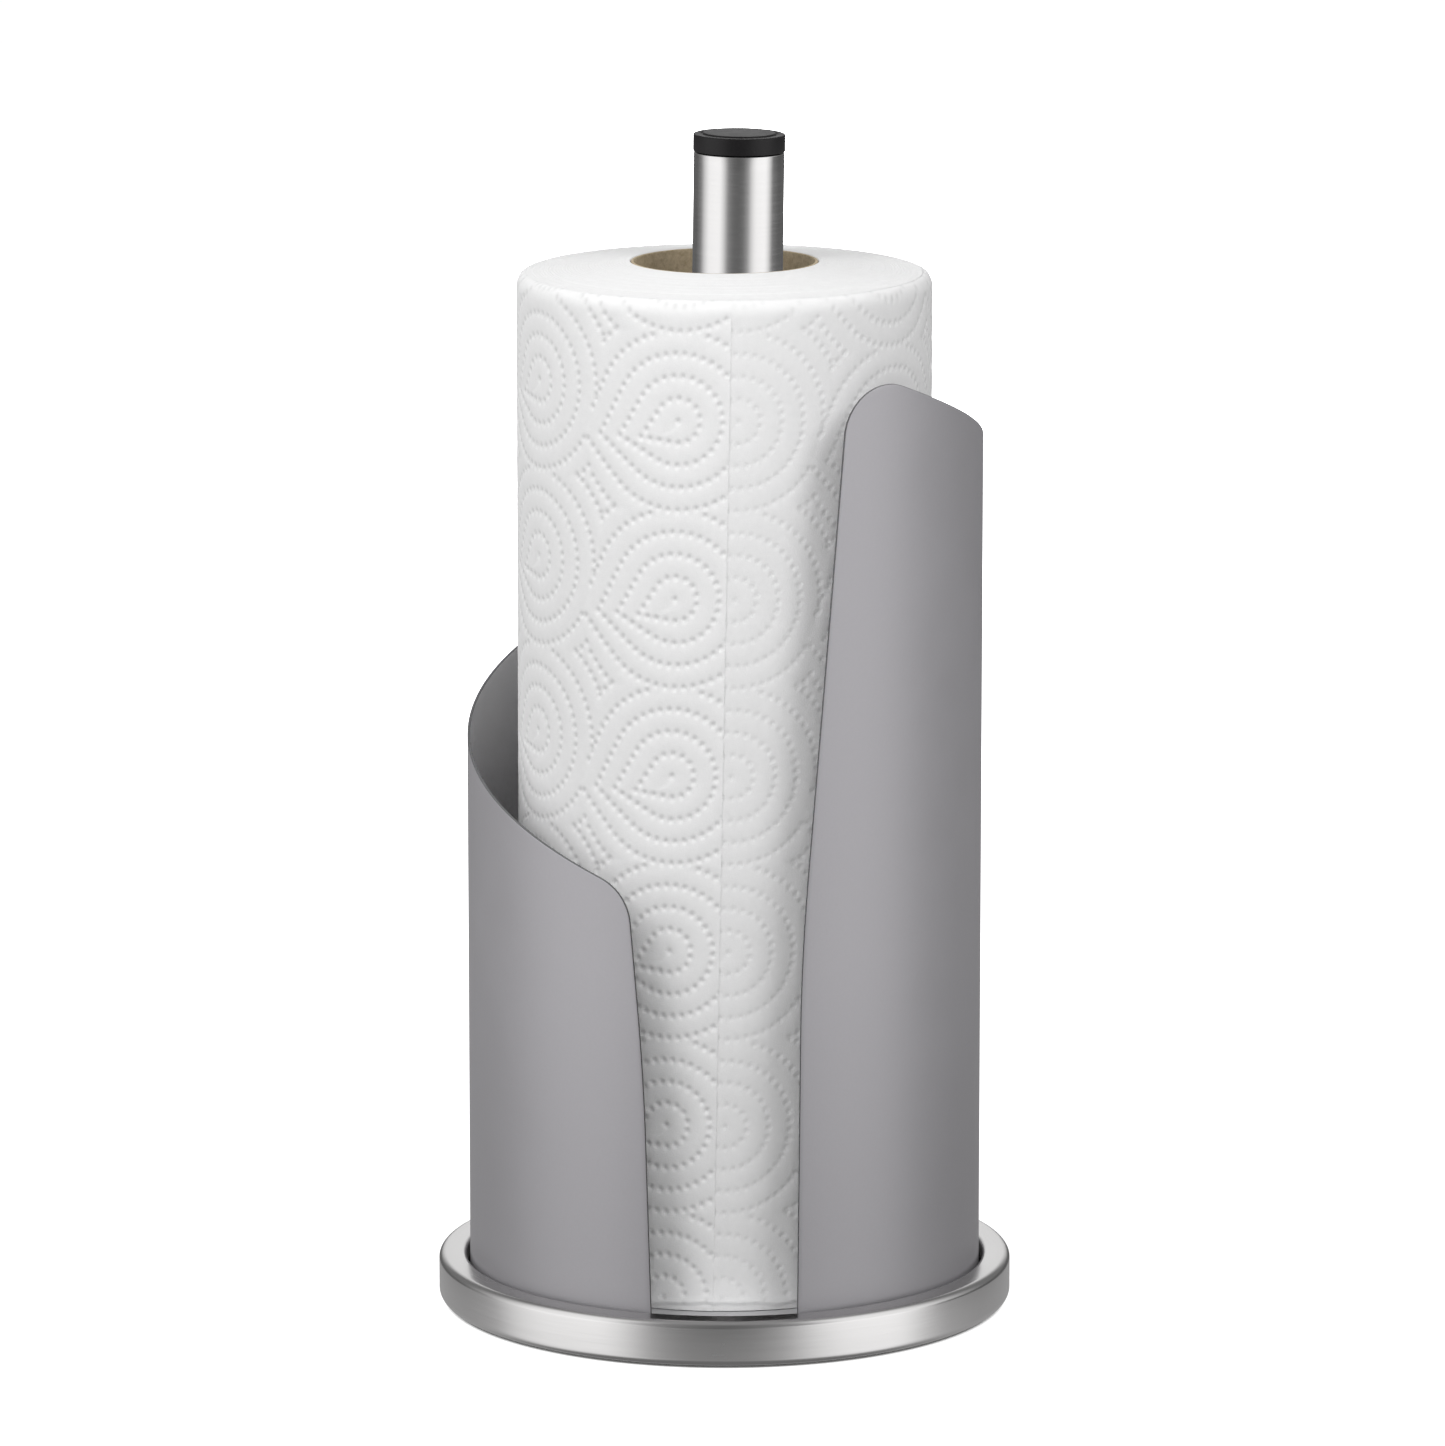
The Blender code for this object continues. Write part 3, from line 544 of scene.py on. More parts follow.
def buildSleeve(s):
    # The blank rolled round the axis: x = r sin(u / r), y = -r cos(u / r), then thickened inwards.
    flat = sleeveBlank(s)
    angle = flat[..., 0] / s["radius"]
    x, y = s["radius"] * np.sin(angle), -s["radius"] * np.cos(angle)
    points = np.stack([x, y, flat[..., 1]], -1).reshape(-1, 3)
    quads = quadIndex(s["up"], s["across"])
    piece = addMesh("sleeveSheet", points, quads, flat.reshape(-1, 2)[quads].reshape(-1, 2))
    wall = piece.modifiers.new("sheet", "SOLIDIFY")
    wall.thickness = s["sheet"]
    wall.offset = -1.0
    wall.use_even_offset = True
    # the rim and its bevel take the dark edge colour, painted shadow along the cut edge
    wall.material_offset_rim = 1
    # the inner side takes the lighter inside coat, painted light
    wall.material_offset = 2
    soften = piece.modifiers.new("cut edge", "BEVEL")
    soften.width = s["edge"]
    soften.segments = 2
    soften.limit_method = "ANGLE"
    soften.angle_limit = math.radians(s["edgeAngle"])
    soften.material = 1
    return piece


sheet = finish(buildSleeve(sleeve), coatMaterial, "holder", "grey_coating", "sleeve")
sheet.data.materials.append(shadedEdgeMaterial)
sheet.data.materials.append(litInsideMaterial)

# The tabs turned in from the sleeve's foot, under the floor disc
tabs = {"width": 16.0 * mm, "length": 15.0 * mm, "angles": (60, 180, 300), "edge": 0.15 * mm}
for number, angle in enumerate(tabs["angles"], 1):
    inner, outer = tabs["length"] - sleeve["radius"], sleeve["sheet"] / 2 - sleeve["radius"]
    low = (-tabs["width"] / 2, outer, sleeve["foot"])
    high = (tabs["width"] / 2, inner, sleeve["foot"] + sleeve["sheet"])
    tab = boxMesh(f"sleeveTab{number}", low, high, tabs["edge"], math.radians(angle))
    finish(tab, coatMaterial, "holder", "grey_coating")
print("scene: sleeve")

# Post

footLow, footHigh = (np.array(corner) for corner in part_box("post_foot"))
capLow, capHigh = (np.array(corner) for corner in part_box("post_cap"))
rise = (capLow + capHigh - footLow - footHigh) / 2
lean = math.atan2(rise[0], rise[2])
post = {"radius": 12.45 * mm, "wall": 0.8 * mm, "bottom": 2.3 * mm, "lip": 0.25 * mm, "lipSteps": 4,
        "steps": 160, "gap": 0.3 * mm, "capRadius": 12.65 * mm, "capSide": 4.7 * mm, "capEdge": 0.45 * mm,
        "capLip": 0.2 * mm, "discInset": 2.6 * mm, "discRise": 0.35 * mm, "groove": 0.25 * mm,
        "skirt": 12.0 * mm, "skirtWall": 1.5 * mm}
footPoint = np.array([0.0, 0.0, discHigh[2] + post["gap"]])
capTop = capHigh[2] - footPoint[2] - post["capRadius"] * math.sin(lean)
post["top"] = capTop - post["discRise"] - post["capSide"]


def wallProfile(radius, wall, low, top, lip, steps):
    # A tube's wall: down its outer side and up its inner side, with a quarter circle at each corner.
    inside = radius - wall
    return np.vstack([
        arcPoints((radius - lip, top - lip), lip, 90, 0, steps),
        arcPoints((radius - lip, low + lip), lip, 0, -90, steps),
        arcPoints((inside + lip, low + lip), lip, 270, 180, steps),
        arcPoints((inside + lip, top - lip), lip, 180, 90, steps),
    ])


def capProfile(s):
    # From the middle of the raised disc out over its groove, down the side, and in round the hollow skirt.
    out, shoulder = s["capRadius"], capTop - s["discRise"]
    raised = out - s["discInset"]
    skirt = s["radius"] - s["wall"] - s["gap"]
    low = s["top"]
    return np.vstack([
        [(0, capTop)], arcPoints((raised - s["discRise"], shoulder), s["discRise"], 90, 0, 5),
        arcPoints((raised + s["groove"], shoulder), s["groove"], 180, 360, 6),
        arcPoints((out - s["capEdge"], shoulder - s["capEdge"]), s["capEdge"], 90, 0, 6),
        arcPoints((out - s["capLip"], low + s["capLip"]), s["capLip"], 0, -90, 4),
        [(skirt, low), (skirt, low - s["skirt"]), (skirt - s["skirtWall"], low - s["skirt"]),
         (skirt - s["skirtWall"], low), (0, low)],
    ])


tubeWall = wallProfile(post["radius"], post["wall"], post["bottom"], post["top"] - post["gap"],
                       post["lip"], post["lipSteps"])
tube = turned("postTube", tubeWall + [0, footPoint[2]], post["steps"], ring=True, lean=(footPoint, lean))
finish(tube, tubeMaterial, "holder", "brushed_steel", "post_tube")
cap = turned("postCap", capProfile(post) + [0, footPoint[2]], post["steps"], lean=(footPoint, lean))
finish(cap, blackMaterial, "holder", "black_plastic", "post_cap")
print("scene: post")

# Cardboard core

coreLow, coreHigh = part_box("roll_core")
core = {"radius": coreHigh[0], "wall": 0.7 * mm, "edge": 0.2 * mm, "edgeSteps": 3, "steps": 144}
coreWall = wallProfile(core["radius"], core["wall"], coreLow[2], coreHigh[2], core["edge"], core["edgeSteps"])
coreTube = turned("cardboardCore", coreWall, core["steps"], ring=True)
finish(coreTube, boardMaterial, "core", "cardboard", "roll_core")
coreTube.visible_glossy = False  # as for the paper below

# Paper roll

paperLow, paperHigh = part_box("roll_paper")
roll = {
    "radius": paperHigh[0], "bore": core["radius"] + 0.3 * mm, "bottom": paperLow[2], "crown": 3.0 * mm,
    "crownPower": 1.15, "sheet": 0.2 * mm, "wrap": 2.8 * mm, "shoulder": 4.0 * mm, "shoulderIn": 2.65 * mm,
    "tuck": 0.3 * mm, "rise": 0.1 * mm, "edgeAt": 1.9 * mm, "edgeDrift": 0.0185, "lift": 0.12 * mm,
    "liftReach": 4.0 * mm, "hem": 0.35 * mm, "hemReach": 1.2 * mm, "hemAt": 1.9 * mm, "step": 0.5 * mm,
    "stepReach": 0.5 * mm, "ragged": 0.55 * mm, "columns": 720, "rows": 560, "panels": 5, "steps": 240,
    "layers": 150, "layerPitch": 0.83 * mm, "layerRise": 0.03 * mm, "layerScatter": 0.025 * mm,
    "layerFade": 0.8 * mm, "boreEdge": 0.2 * mm, "inset": 0.02 * mm,
}
# Waves of the torn hem: each one's share, pitch and start
roll["waves"] = ((0.6, 3.7 * mm, 0.0), (0.4, 1.9 * mm, 1.0), (0.5, 9.3 * mm, 2.0))
roll["top"] = paperHigh[2] - roll["crown"]
emboss = {
    "pitchUp": 48.7 * mm, "pitchRound": 49.1 * mm, "columnsToPitch": 7, "rowsDown": 9, "rowsUp": 4,
    "rings": 8, "dotRings": 6, "tip": 5.4 * mm, "tipDrop": 4.8 * mm, "firstColumn": 14.0 * mm,
    "firstRow": 257.0 * mm, "dotStep": 2.62 * mm, "dotRadius": 0.72 * mm, "dotDepth": 0.42 * mm,
    "dotReach": 2.4, "dotPower": 2.2, "covered": 0.12, "crowded": 0.62, "neighbours": 13,
    "curveSteps": 721, "pillow": 0.10 * mm, "pressed": 0.42, "pressedReach": 80 * mm,
}
emboss["reachRound"] = 1.1 * emboss["pitchRound"]
emboss["reachUp"] = 0.95 * emboss["pitchUp"]
emboss["ring"] = emboss["pitchUp"] / emboss["rings"]


def tipTurn(ring, e):
    # Every tip lies the same drop below its centre: sin(turn) = drop / (ring + reach).
    return np.arcsin(np.clip(e["tipDrop"] / (ring + e["tip"]), 0, 1))


def teardrop(a, b, e):
    # Ring distance of a motif: a circle's radius r, drawn out on one side to a point a fixed reach past
    # the circle. On that side r solves r = R cos(t - phi), with cos t = r / (r + reach).
    far = np.hypot(a, b)
    heading = np.arctan2(b, a)
    ring = far.copy()
    for _ in range(8):
        phi = np.abs(heading + tipTurn(ring, e))
        phi = np.minimum(phi, 2 * np.pi - phi)
        tangent = np.arccos(np.clip(ring / (ring + e["tip"]), 0, 1))
        ring = np.where(phi < tangent, far * np.cos(np.clip(tangent - phi, 0, 1.5)), far)
    return ring


def motifCentres(e, length):
    # Centres on a skewed lattice: each column is a step further round and a seventh of a pitch higher.
    columns = np.arange(-1, int(length / e["pitchRound"]) + 2)
    rows = np.arange(-e["rowsDown"], e["rowsUp"])
    n, m = np.meshgrid(columns, rows, indexing="ij")
    u = e["firstColumn"] + n * e["pitchRound"]
    climb = n * e["pitchUp"] / e["columnsToPitch"]
    z = e["firstRow"] + m * e["pitchUp"] + climb % e["pitchUp"]
    return np.stack([u.ravel(), z.ravel()], -1)


def ringField(u, z, centres, e):
    # Smallest ring distance to any motif, looked for within each motif's reach.
    best = np.full(u.shape, 1.0)
    for cu, cz in centres:
        near = (np.abs(u - cu) < e["reachRound"]) & (np.abs(z - cz) < e["reachUp"])
        if near.any():
            best[near] = np.minimum(best[near], teardrop(u[near] - cu, z[near] - cz, e))
    return best


def dotPlaces(centres, e):
    # Dots at equal steps along each ring, kept where the ring is not covered by a nearer motif.
    angle = np.linspace(0, 2 * np.pi, e["curveSteps"])
    phi = np.minimum(angle, 2 * np.pi - angle)
    offsets = [np.zeros((1, 2))]
    for k in range(1, e["dotRings"] + 1):
        r = k * e["ring"]
        turn = tipTurn(r, e)
        tangent = math.acos(r / (r + e["tip"]))
        reach = np.where(phi < tangent, r / np.cos(np.clip(tangent - phi, 0, 1.5)), r)
        curve = np.stack([reach * np.cos(angle - turn), reach * np.sin(angle - turn)], -1)
        total = np.hypot(*np.diff(curve, axis=0).T).sum()
        offsets.append(evenly(curve, int(round(total / e["dotStep"])) + 1)[:-1])
    ownRing = np.concatenate([np.full(len(o), k * e["ring"]) for k, o in enumerate(offsets)])
    dots = (centres[:, None] + np.concatenate(offsets)[None]).reshape(-1, 2)
    best = ringField(dots[:, 0], dots[:, 1], centres, e)
    dots = dots[best > np.tile(ownRing, len(centres)) - e["covered"] * e["ring"]]
    # where two rings run together only one row of dots is kept
    dots = dots[np.lexsort((dots[:, 1], dots[:, 0]))]
    kept = np.ones(len(dots), bool)
    for step in range(1, e["neighbours"] + 1):
        gap = np.hypot(*(dots[step:] - dots[:-step]).T)
        kept[step:] &= ~((gap < e["crowded"] * e["dotStep"]) & kept[:-step])
    return dots[kept]


def embossHeight(u, z, e, length):
    # Relief of the sheet: a pillow that sinks along every ring, and a round dimple at every dot.
    centres = motifCentres(e, length)
    ring = ringField(u, z, centres, e)
    height = -e["pillow"] * 0.5 * (1 + np.cos(2 * np.pi * ring / e["ring"]))
    dots = dotPlaces(centres, e)
    stepU, stepZ = u[0, 1] - u[0, 0], z[0, 0] - z[1, 0]
    reach = e["dotReach"] * e["dotRadius"]
    reachU, reachZ = int(reach / stepU) + 1, int(reach / stepZ) + 1
    col = np.rint((dots[:, 0] - u[0, 0]) / stepU).astype(int)
    row = np.rint((z[0, 0] - dots[:, 1]) / stepZ).astype(int)
    # each dot marks the grid points within its reach
    dr, dc = np.meshgrid(np.arange(-reachZ, reachZ + 1), np.arange(-reachU, reachU + 1), indexing="ij")
    rr = row[:, None] + dr.ravel()
    cc = col[:, None] + dc.ravel()
    inside = (rr >= 0) & (rr < z.shape[0]) & (cc >= 0) & (cc < u.shape[1])
    which = np.broadcast_to(np.arange(len(dots))[:, None], rr.shape)[inside]
    rr, cc = rr[inside], cc[inside]
    far = np.hypot(u[rr, cc] - dots[which, 0], z[rr, cc] - dots[which, 1]) / e["dotRadius"]
    dimple = np.zeros(u.shape)
    np.maximum.at(dimple, (rr, cc), np.exp(-far ** e["dotPower"]))
    return height - e["dotDepth"] * dimple, dimple


def wrapGrid(s, e):
    # The outermost turn of the sheet over length u, leftwards from its loose edge, and height z:
    # x = r sin a, y = -r cos a, with a = (seam - u) / r. The radius carries the relief, the rounded
    # shoulder at the top, the lifted loose edge and the wavy torn hem at the foot.
    around = 2 * math.pi * s["radius"]
    length = np.linspace(0, around, s["columns"] + 1)
    height = np.linspace(s["top"], s["bottom"], s["rows"])
    u, z = np.meshgrid(length, height)
    relief, dimpleShade = embossHeight(u, z, e, around)
    soften = e["pressed"] + (1 - e["pressed"]) * np.clip((around - u) / e["pressedReach"], 0, 1)
    relief *= soften
    dimpleShade *= soften
    relief *= np.clip(np.minimum(s["top"] - z, z - s["bottom"]) / s["shoulder"], 0, 1)
    radius = s["radius"] - s["sheet"] * u / around + relief
    over = (1 - np.clip((s["top"] - z) / s["shoulder"], 0, 1)) * math.pi / 2
    radius -= s["shoulderIn"] * (1 - np.cos(over))
    radius += s["lift"] * np.clip(1 - u / s["liftReach"], 0, 1) ** 2
    wavy = sum(share * np.sin(u / pitch + start) for share, pitch, start in s["waves"])
    above = z - s["bottom"] - s["hemAt"] - s["ragged"] * wavy
    radius += s["hem"] * np.exp(-np.clip(above, 0, 1) / s["hemReach"])
    radius -= s["step"] * np.clip(-above / s["stepReach"], 0, 1)
    z = np.where(over > 0, s["top"] - s["shoulder"] * (1 - np.sin(over)), z)
    seam = s["edgeAt"] - s["edgeDrift"] * (s["top"] - z)
    angle = (seam - u) / s["radius"]
    return np.stack([radius * np.sin(angle), -radius * np.cos(angle), z], -1), u, angle, dimpleShade


def wrapPanel(name, s, grid, u, angle, dimpleShade, normal):
    # One closed panel: the sheet in front, a plain cylinder behind it, and walls between the two.
    rows, cols = angle.shape
    z = grid[..., 2]
    backRadius = s["radius"] - s["wrap"]
    low, high = s["bottom"] + 2 * s["tuck"], s["top"] + s["rise"]

    def behind(turn, height):
        # the back cylinder: x = r sin a, y = -r cos a
        return np.stack([backRadius * np.sin(turn), -backRadius * np.cos(turn), height], -1)

    ends, sides = angle[[0, -1]], angle[1:-1][:, [0, -1]]
    back = behind(ends, np.broadcast_to(np.array([[high], [low]]), ends.shape))
    wall = behind(sides, np.clip(z[1:-1][:, [0, -1]], low, s["top"]))
    points = np.vstack([grid.reshape(-1, 3), back.reshape(-1, 3), wall[:, 0], wall[:, 1]])
    front = quadIndex(rows, cols)
    lastRow, backTop = (rows - 1) * cols, rows * cols
    backLow, leftWall = backTop + cols, backTop + 2 * cols
    inner = np.arange(rows - 2)
    leftLine = np.concatenate([[backTop], leftWall + inner, [backLow]])
    rightLine = np.concatenate([[backTop + cols - 1], leftWall + rows - 2 + inner, [backLow + cols - 1]])
    c, r = np.arange(cols - 1), np.arange(rows - 1)
    over = np.stack([backTop + c, backTop + c + 1, c + 1, c], -1)
    under = np.stack([lastRow + c, lastRow + c + 1, backLow + c + 1, backLow + c], -1)
    rear = np.stack([backLow + c, backLow + c + 1, backTop + c + 1, backTop + c], -1)
    left = np.stack([r * cols, (r + 1) * cols, leftLine[1:], leftLine[:-1]], -1)
    right = np.stack([(r + 1) * cols + cols - 1, r * cols + cols - 1, rightLine[:-1], rightLine[1:]], -1)
    # a fan closes each side between the wall's back line and the cylinder's upper corner
    r = r[1:]
    leftFan = np.stack([np.full(rows - 2, leftLine[0]), leftLine[r], leftLine[r + 1]], -1)
    rightFan = np.stack([np.full(rows - 2, rightLine[0]), rightLine[r + 1], rightLine[r]], -1)
    quads = np.vstack([front, over, under, rear, left, right])
    triangles = np.vstack([leftFan, rightFan])
    place = np.stack([u, z], -1)
    uv = np.vstack([place.reshape(-1, 2), place[[0, -1]].reshape(-1, 2), place[1:-1, 0], place[1:-1, -1]])
    order = np.concatenate([quads.reshape(-1), triangles.reshape(-1)])
    panel = addMesh(name, points, quads, uv[order], triangles)
    given = np.zeros((len(panel.data.loops), 3))
    given[:front.size] = normal.reshape(-1, 3)[front.reshape(-1)]
    panel.data.normals_split_custom_set(given)
    # the dimples' depth, which the embossed paper darkens as painted shade
    marks = np.zeros(len(points))
    marks[:rows * cols] = dimpleShade.reshape(-1)
    layer = panel.data.attributes.new("dimpleShade", "FLOAT", "POINT")
    layer.data.foreach_set("value", marks.astype(np.float32))
    return panel


def buildWrap(s, e):
    # The outermost turn as panels side by side, shaded by the whole sheet's normals so that no join shows.
    grid, u, angle, dimpleShade = wrapGrid(s, e)
    across, down = np.gradient(grid, axis=1), np.gradient(grid, axis=0)
    normal = np.cross(across, down)
    normal /= np.linalg.norm(normal, axis=-1, keepdims=True)
    edges = np.linspace(0, s["columns"], s["panels"] + 1).astype(int)
    panels = []
    for number, (first, last) in enumerate(zip(edges[:-1], edges[1:]), 1):
        fields = (field[:, first:last + 1] for field in (grid, u, angle, dimpleShade, normal))
        panels.append(wrapPanel(f"paperWrap{number}", s, *fields))
    return panels


def rollBodyProfile(s):
    # The wound paper inside the last turn: z = top + crown at the core, falling outwards, with the
    # layers' edges as small ripples on both ends.
    out, bore = s["radius"] - s["wrap"] - s["inset"], s["bore"]
    across = np.linspace(bore + s["boreEdge"], out, s["layers"])
    share = (out - across) / (out - bore)
    ripple = s["layerRise"] * np.sin(2 * np.pi * across / s["layerPitch"])
    ripple += s["layerScatter"] * rng.standard_normal(s["layers"])
    ripple *= np.clip((out - across) / s["layerFade"], 0, 1)
    top = s["top"] + s["rise"] + s["crown"] * share ** s["crownPower"] + ripple
    low = s["bottom"] + 2 * s["tuck"] + ripple
    return np.vstack([
        np.stack([across, top], -1), np.stack([across, low], -1)[::-1],
        [(bore, low[0] + 2 * s["boreEdge"]), (bore, top[0] - 2 * s["boreEdge"])],
    ])


wound = turned("woundPaper", rollBodyProfile(roll), roll["steps"], ring=True, spacing=60 * mm)
finish(wound, paperMaterial, "paper", "paper", "roll_paper")
wraps = buildWrap(roll, emboss)
for panel in wraps:
    finish(panel, embossedMaterial, "paper", "paper")
for piece in (wound, *wraps):
    piece.visible_glossy = False  # the studio's softboxes fill the steel's reflections
print("scene: roll")

# Carried-over pieces get their finishes

finishes = {"base_weight": castMaterial, "bottom_plate": blackMaterial, "post_foot": zincMaterial,
            "flat_washer": zincMaterial, "spring_washer": zincMaterial, "post_bolt": zincMaterial}
finishes.update({f"plate_screw_{n}": zincMaterial for n in (1, 2, 3)})
finishes.update({f"sleeve_screw_{n}": zincMaterial for n in (1, 2, 3)})
finishes.update({f"anti_slip_pad_{n}": foamMaterial for n in (1, 2, 3, 4)})
for name, material in finishes.items():
    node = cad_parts[name]
    node.data.materials.clear()
    node.data.materials.append(material)

# Stage, camera and light

stage = {
    "size": 6.0, "camera": (-0.56 * mm, -2331.8 * mm, 625.7 * mm), "pitch": 11.215, "lens": 213.46,
    "sensor": 36.0, "farthest": 20.0, "floorColour": 0.6, "floorGlow": 0.66, "floorFar": 1.6,
    "underneath": (0.0775, 0.079), "floorBounce": 0.45, "bounceShadeReach": (0.12, 0.55),
}


def buildFloor(s):
    # A flat pale table: the camera sees it a little brighter than it is lit, with a painted shadow where its
    # glow is cut beneath the holder and weaker near it; reflections pass through it, and other light bounces
    # off it more the farther it is from the holder, a painted shade round the holder.
    half = s["size"] / 2
    points = np.array([[-half, -half, 0], [half, -half, 0], [half, half, 0], [-half, half, 0]])
    floor = addMesh("studioFloor", points, np.array([[0, 1, 2, 3]]))
    material = bpy.data.materials.new("studio floor")
    material.use_nodes = True
    tree = material.node_tree
    tree.nodes.clear()
    far = tree.nodes.new("ShaderNodeVectorMath")
    far.operation = "LENGTH"
    wire(tree, coordinate(tree, "Object"), far.inputs[0])

    def surface(kind, value):
        # a plain grey shader of the given kind
        node = tree.nodes.new(kind)
        node.inputs["Color"].default_value = (value, value, value, 1)
        return node.outputs[0]

    def mixed(kind, *inputs):
        # shaders added or blended
        node = tree.nodes.new(kind)
        for socket, given in zip(node.inputs, inputs):
            wire(tree, given, socket)
        return node.outputs[0]

    def ramped(start, end, least, most):
        # a value that grows with the distance from the holder's axis
        node = tree.nodes.new("ShaderNodeMapRange")
        wire(tree, far.outputs["Value"], node.inputs["Value"])
        for label, number in (("From Min", start), ("From Max", end), ("To Min", least), ("To Max", most)):
            node.inputs[label].default_value = number
        return node.outputs["Result"]

    path = tree.nodes.new("ShaderNodeLightPath").outputs
    glow = tree.nodes.new("ShaderNodeEmission")
    # the glow is cut beneath the holder and grows with distance from it: painted shadow under and round the
    # holder
    near = ramped(*s["underneath"], 0.0, 1.0)
    wide = mathNode(tree, "MULTIPLY_ADD", far.outputs["Value"], s["floorFar"], s["floorGlow"])
    wire(tree, mathNode(tree, "MULTIPLY", near, wide), glow.inputs["Strength"])
    seen = mixed("ShaderNodeAddShader", surface("ShaderNodeBsdfDiffuse", s["floorColour"]), glow.outputs[0])
    bounce = surface("ShaderNodeBsdfDiffuse", 1.0)
    # the bounce colour is dark near the holder: painted shade round it
    wire(tree, ramped(*s["bounceShadeReach"], 0.0, s["floorBounce"]), bounce.node.inputs["Color"])
    clear = surface("ShaderNodeBsdfTransparent", 1.0)
    unseen = mixed("ShaderNodeMixShader", path["Is Glossy Ray"], bounce, clear)
    out = tree.nodes.new("ShaderNodeOutputMaterial")
    wire(tree, mixed("ShaderNodeMixShader", path["Is Camera Ray"], unseen, seen), out.inputs["Surface"])
    floor.data.materials.append(material)


buildFloor(stage)

# Brightness seen in reflections, by the angle in degrees round from the front (-Y) towards +X: two long
# softboxes to the sides, a dark gap in front, and a bright backdrop above the table's edge. The steps are
# the heights between which each belt fades in over the one below
studio = {
    "most": 1.7, "diffuse": 0.57, "top": 0.06, "side": -0.25, "below": 0.2, "white": 1.02, "overhead": 0.35,
    "low": ((-180, 0.40), (-125, 0.42), (-105, 0.50), (-92, 0.95), (-78, 1.12), (-50, 1.18), (-41, 0.97),
            (-30, 0.51), (-16, 0.35), (-2, 0.33), (11, 0.36), (24, 0.50), (37, 0.92), (50, 1.2), (76, 1.28),
            (90, 0.75), (103, 0.52), (125, 0.42), (180, 0.40)),
    "middle": ((-180, 0.14), (-130, 0.14), (-110, 0.30), (-94, 1.0), (-80, 1.43), (-48, 1.53), (-38, 1.08),
               (-26, 0.30), (-12, 0.16), (0, 0.13), (12, 0.18), (24, 0.45), (34, 1.12), (44, 1.48),
               (72, 1.55), (84, 1.08), (96, 0.20), (120, 0.12), (180, 0.14)),
    "high": ((-180, 1.0), (-168, 0.8), (-152, 0.22), (-125, 0.22), (-105, 0.6), (-85, 1.2), (-50, 1.3),
             (-30, 0.3), (0, 0.15), (30, 0.3), (50, 1.3), (85, 1.2), (105, 0.6), (125, 0.22), (152, 0.22),
             (168, 0.8), (180, 1.0)),
    "steps": ((-0.9, -0.6), (-0.25, -0.15), (0.04, 0.12), (0.70, 0.95)),
}


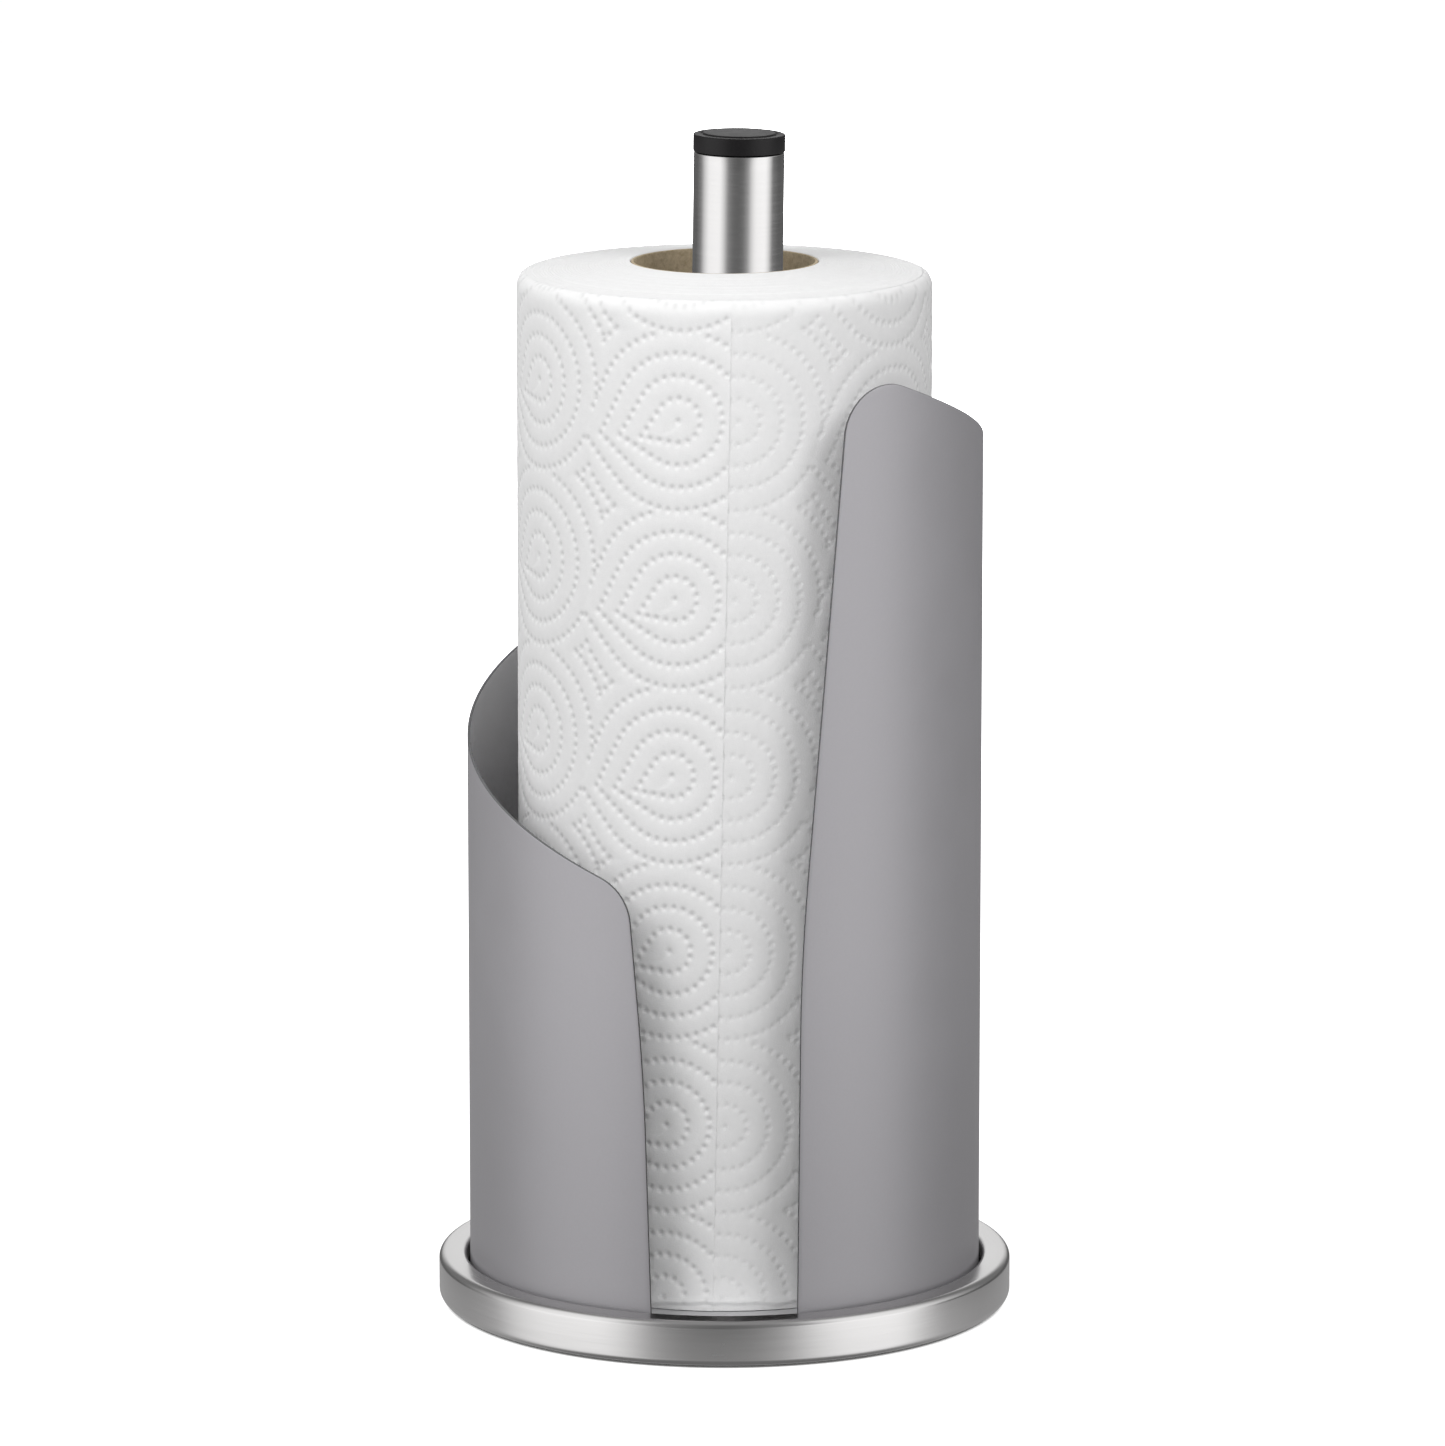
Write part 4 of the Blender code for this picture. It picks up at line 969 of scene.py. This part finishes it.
def buildWorld(s):
    # Camera rays see plain white, reflections see the softboxes, everything else a soft even light.
    world = bpy.data.worlds.new("studio")
    bpy.context.scene.world = world
    world.use_nodes = True
    tree = world.node_tree
    tree.nodes.clear()
    out = tree.nodes.new("ShaderNodeOutputWorld")
    split = tree.nodes.new("ShaderNodeSeparateXYZ")
    wire(tree, tree.nodes.new("ShaderNodeTexCoord").outputs["Generated"], split.inputs[0])
    height = split.outputs[2]
    turn = mathNode(tree, "ARCTAN2", split.outputs[0], mathNode(tree, "MULTIPLY", split.outputs[1], -1.0))
    share = mathNode(tree, "MULTIPLY_ADD", turn, 0.5 / math.pi, 0.5)

    def band(stops):
        # one belt of brightness round the studio
        ramp = tree.nodes.new("ShaderNodeValToRGB")
        wire(tree, share, ramp.inputs[0])
        points = ramp.color_ramp.elements
        for _ in range(len(stops) - len(points)):
            points.new(0.5)
        for element, (angle, value) in zip(points, stops):
            element.position = (angle + 180) / 360
            element.color = (value / s["most"],) * 3 + (1.0,)
        return mathNode(tree, "MULTIPLY", ramp.outputs[0], s["most"])

    def blend(factor, a, b):
        # a number between a and b
        node = tree.nodes.new("ShaderNodeMix")
        for socket, value in zip(node.inputs, (factor, None, a, b)):
            if isinstance(value, float):
                socket.default_value = value
            elif value is not None:
                wire(tree, value, socket)
        return node.outputs[0]

    glossy = s["below"]
    layers = (band(s["low"]), band(s["middle"]), band(s["high"]), s["overhead"])
    for (low, high), layer in zip(s["steps"], layers):
        rise = tree.nodes.new("ShaderNodeMapRange")
        rise.interpolation_type = "SMOOTHSTEP"
        rise.inputs["From Min"].default_value = low
        rise.inputs["From Max"].default_value = high
        wire(tree, height, rise.inputs["Value"])
        glossy = blend(rise.outputs[0], glossy, layer)
    soft = mathNode(tree, "MULTIPLY_ADD", mathNode(tree, "MAXIMUM", height, 0.0), s["top"], s["diffuse"])
    soft = mathNode(tree, "MULTIPLY_ADD", split.outputs[0], s["side"], soft)
    path = tree.nodes.new("ShaderNodeLightPath")
    value = blend(path.outputs["Is Glossy Ray"], soft, glossy)
    value = blend(path.outputs["Is Camera Ray"], value, s["white"])
    background = tree.nodes.new("ShaderNodeBackground")
    wire(tree, value, background.inputs["Strength"])
    wire(tree, background.outputs[0], out.inputs[0])
    background.inputs["Color"].default_value = (1, 1, 1, 1)


buildWorld(studio)


aimPoint = (0.0, 0.0, 0.17)
softBoxes = {
    "leftSoftbox": {"place": (-0.60, -0.66, 0.92), "size": 0.45, "power": 3.8},
    "rightSoftbox": {"place": (0.60, -0.66, 0.92), "size": 0.45, "power": 3.6},
    "frontFill": {"place": (0.0, -1.5, 0.12), "size": 0.5, "power": 2.4},
}


def buildSoftBox(name, s):
    # A large area light aimed at the middle of the holder, left out of reflections.
    light = bpy.data.lights.new(name, "AREA")
    light.shape = "RECTANGLE"
    light.size = light.size_y = s["size"]
    light.energy = s["power"]
    lamp = bpy.data.objects.new(name, light)
    bpy.context.scene.collection.objects.link(lamp)
    lamp.location = s["place"]
    aim = np.array(aimPoint) - np.array(s["place"])
    tilt = math.atan2(math.hypot(aim[0], aim[1]), -aim[2])
    lamp.rotation_euler = (tilt, 0, math.atan2(aim[1], aim[0]) - math.pi / 2)
    lamp.visible_glossy = False
    lamp.visible_camera = False


for name, setting in softBoxes.items():
    buildSoftBox(name, setting)


def buildCamera(s):
    # A long lens looking a little down at the holder.
    data = bpy.data.cameras.new("camera")
    data.sensor_width = s["sensor"]
    data.lens = s["lens"]
    data.clip_end = s["farthest"]
    camera = bpy.data.objects.new("camera", data)
    bpy.context.scene.collection.objects.link(camera)
    camera.location = s["camera"]
    camera.rotation_euler = (math.radians(90 - s["pitch"]), 0, 0)
    bpy.context.scene.camera = camera


buildCamera(stage)
bpy.context.scene.view_settings.view_transform = "Standard"
print("scene: stage, light and camera")
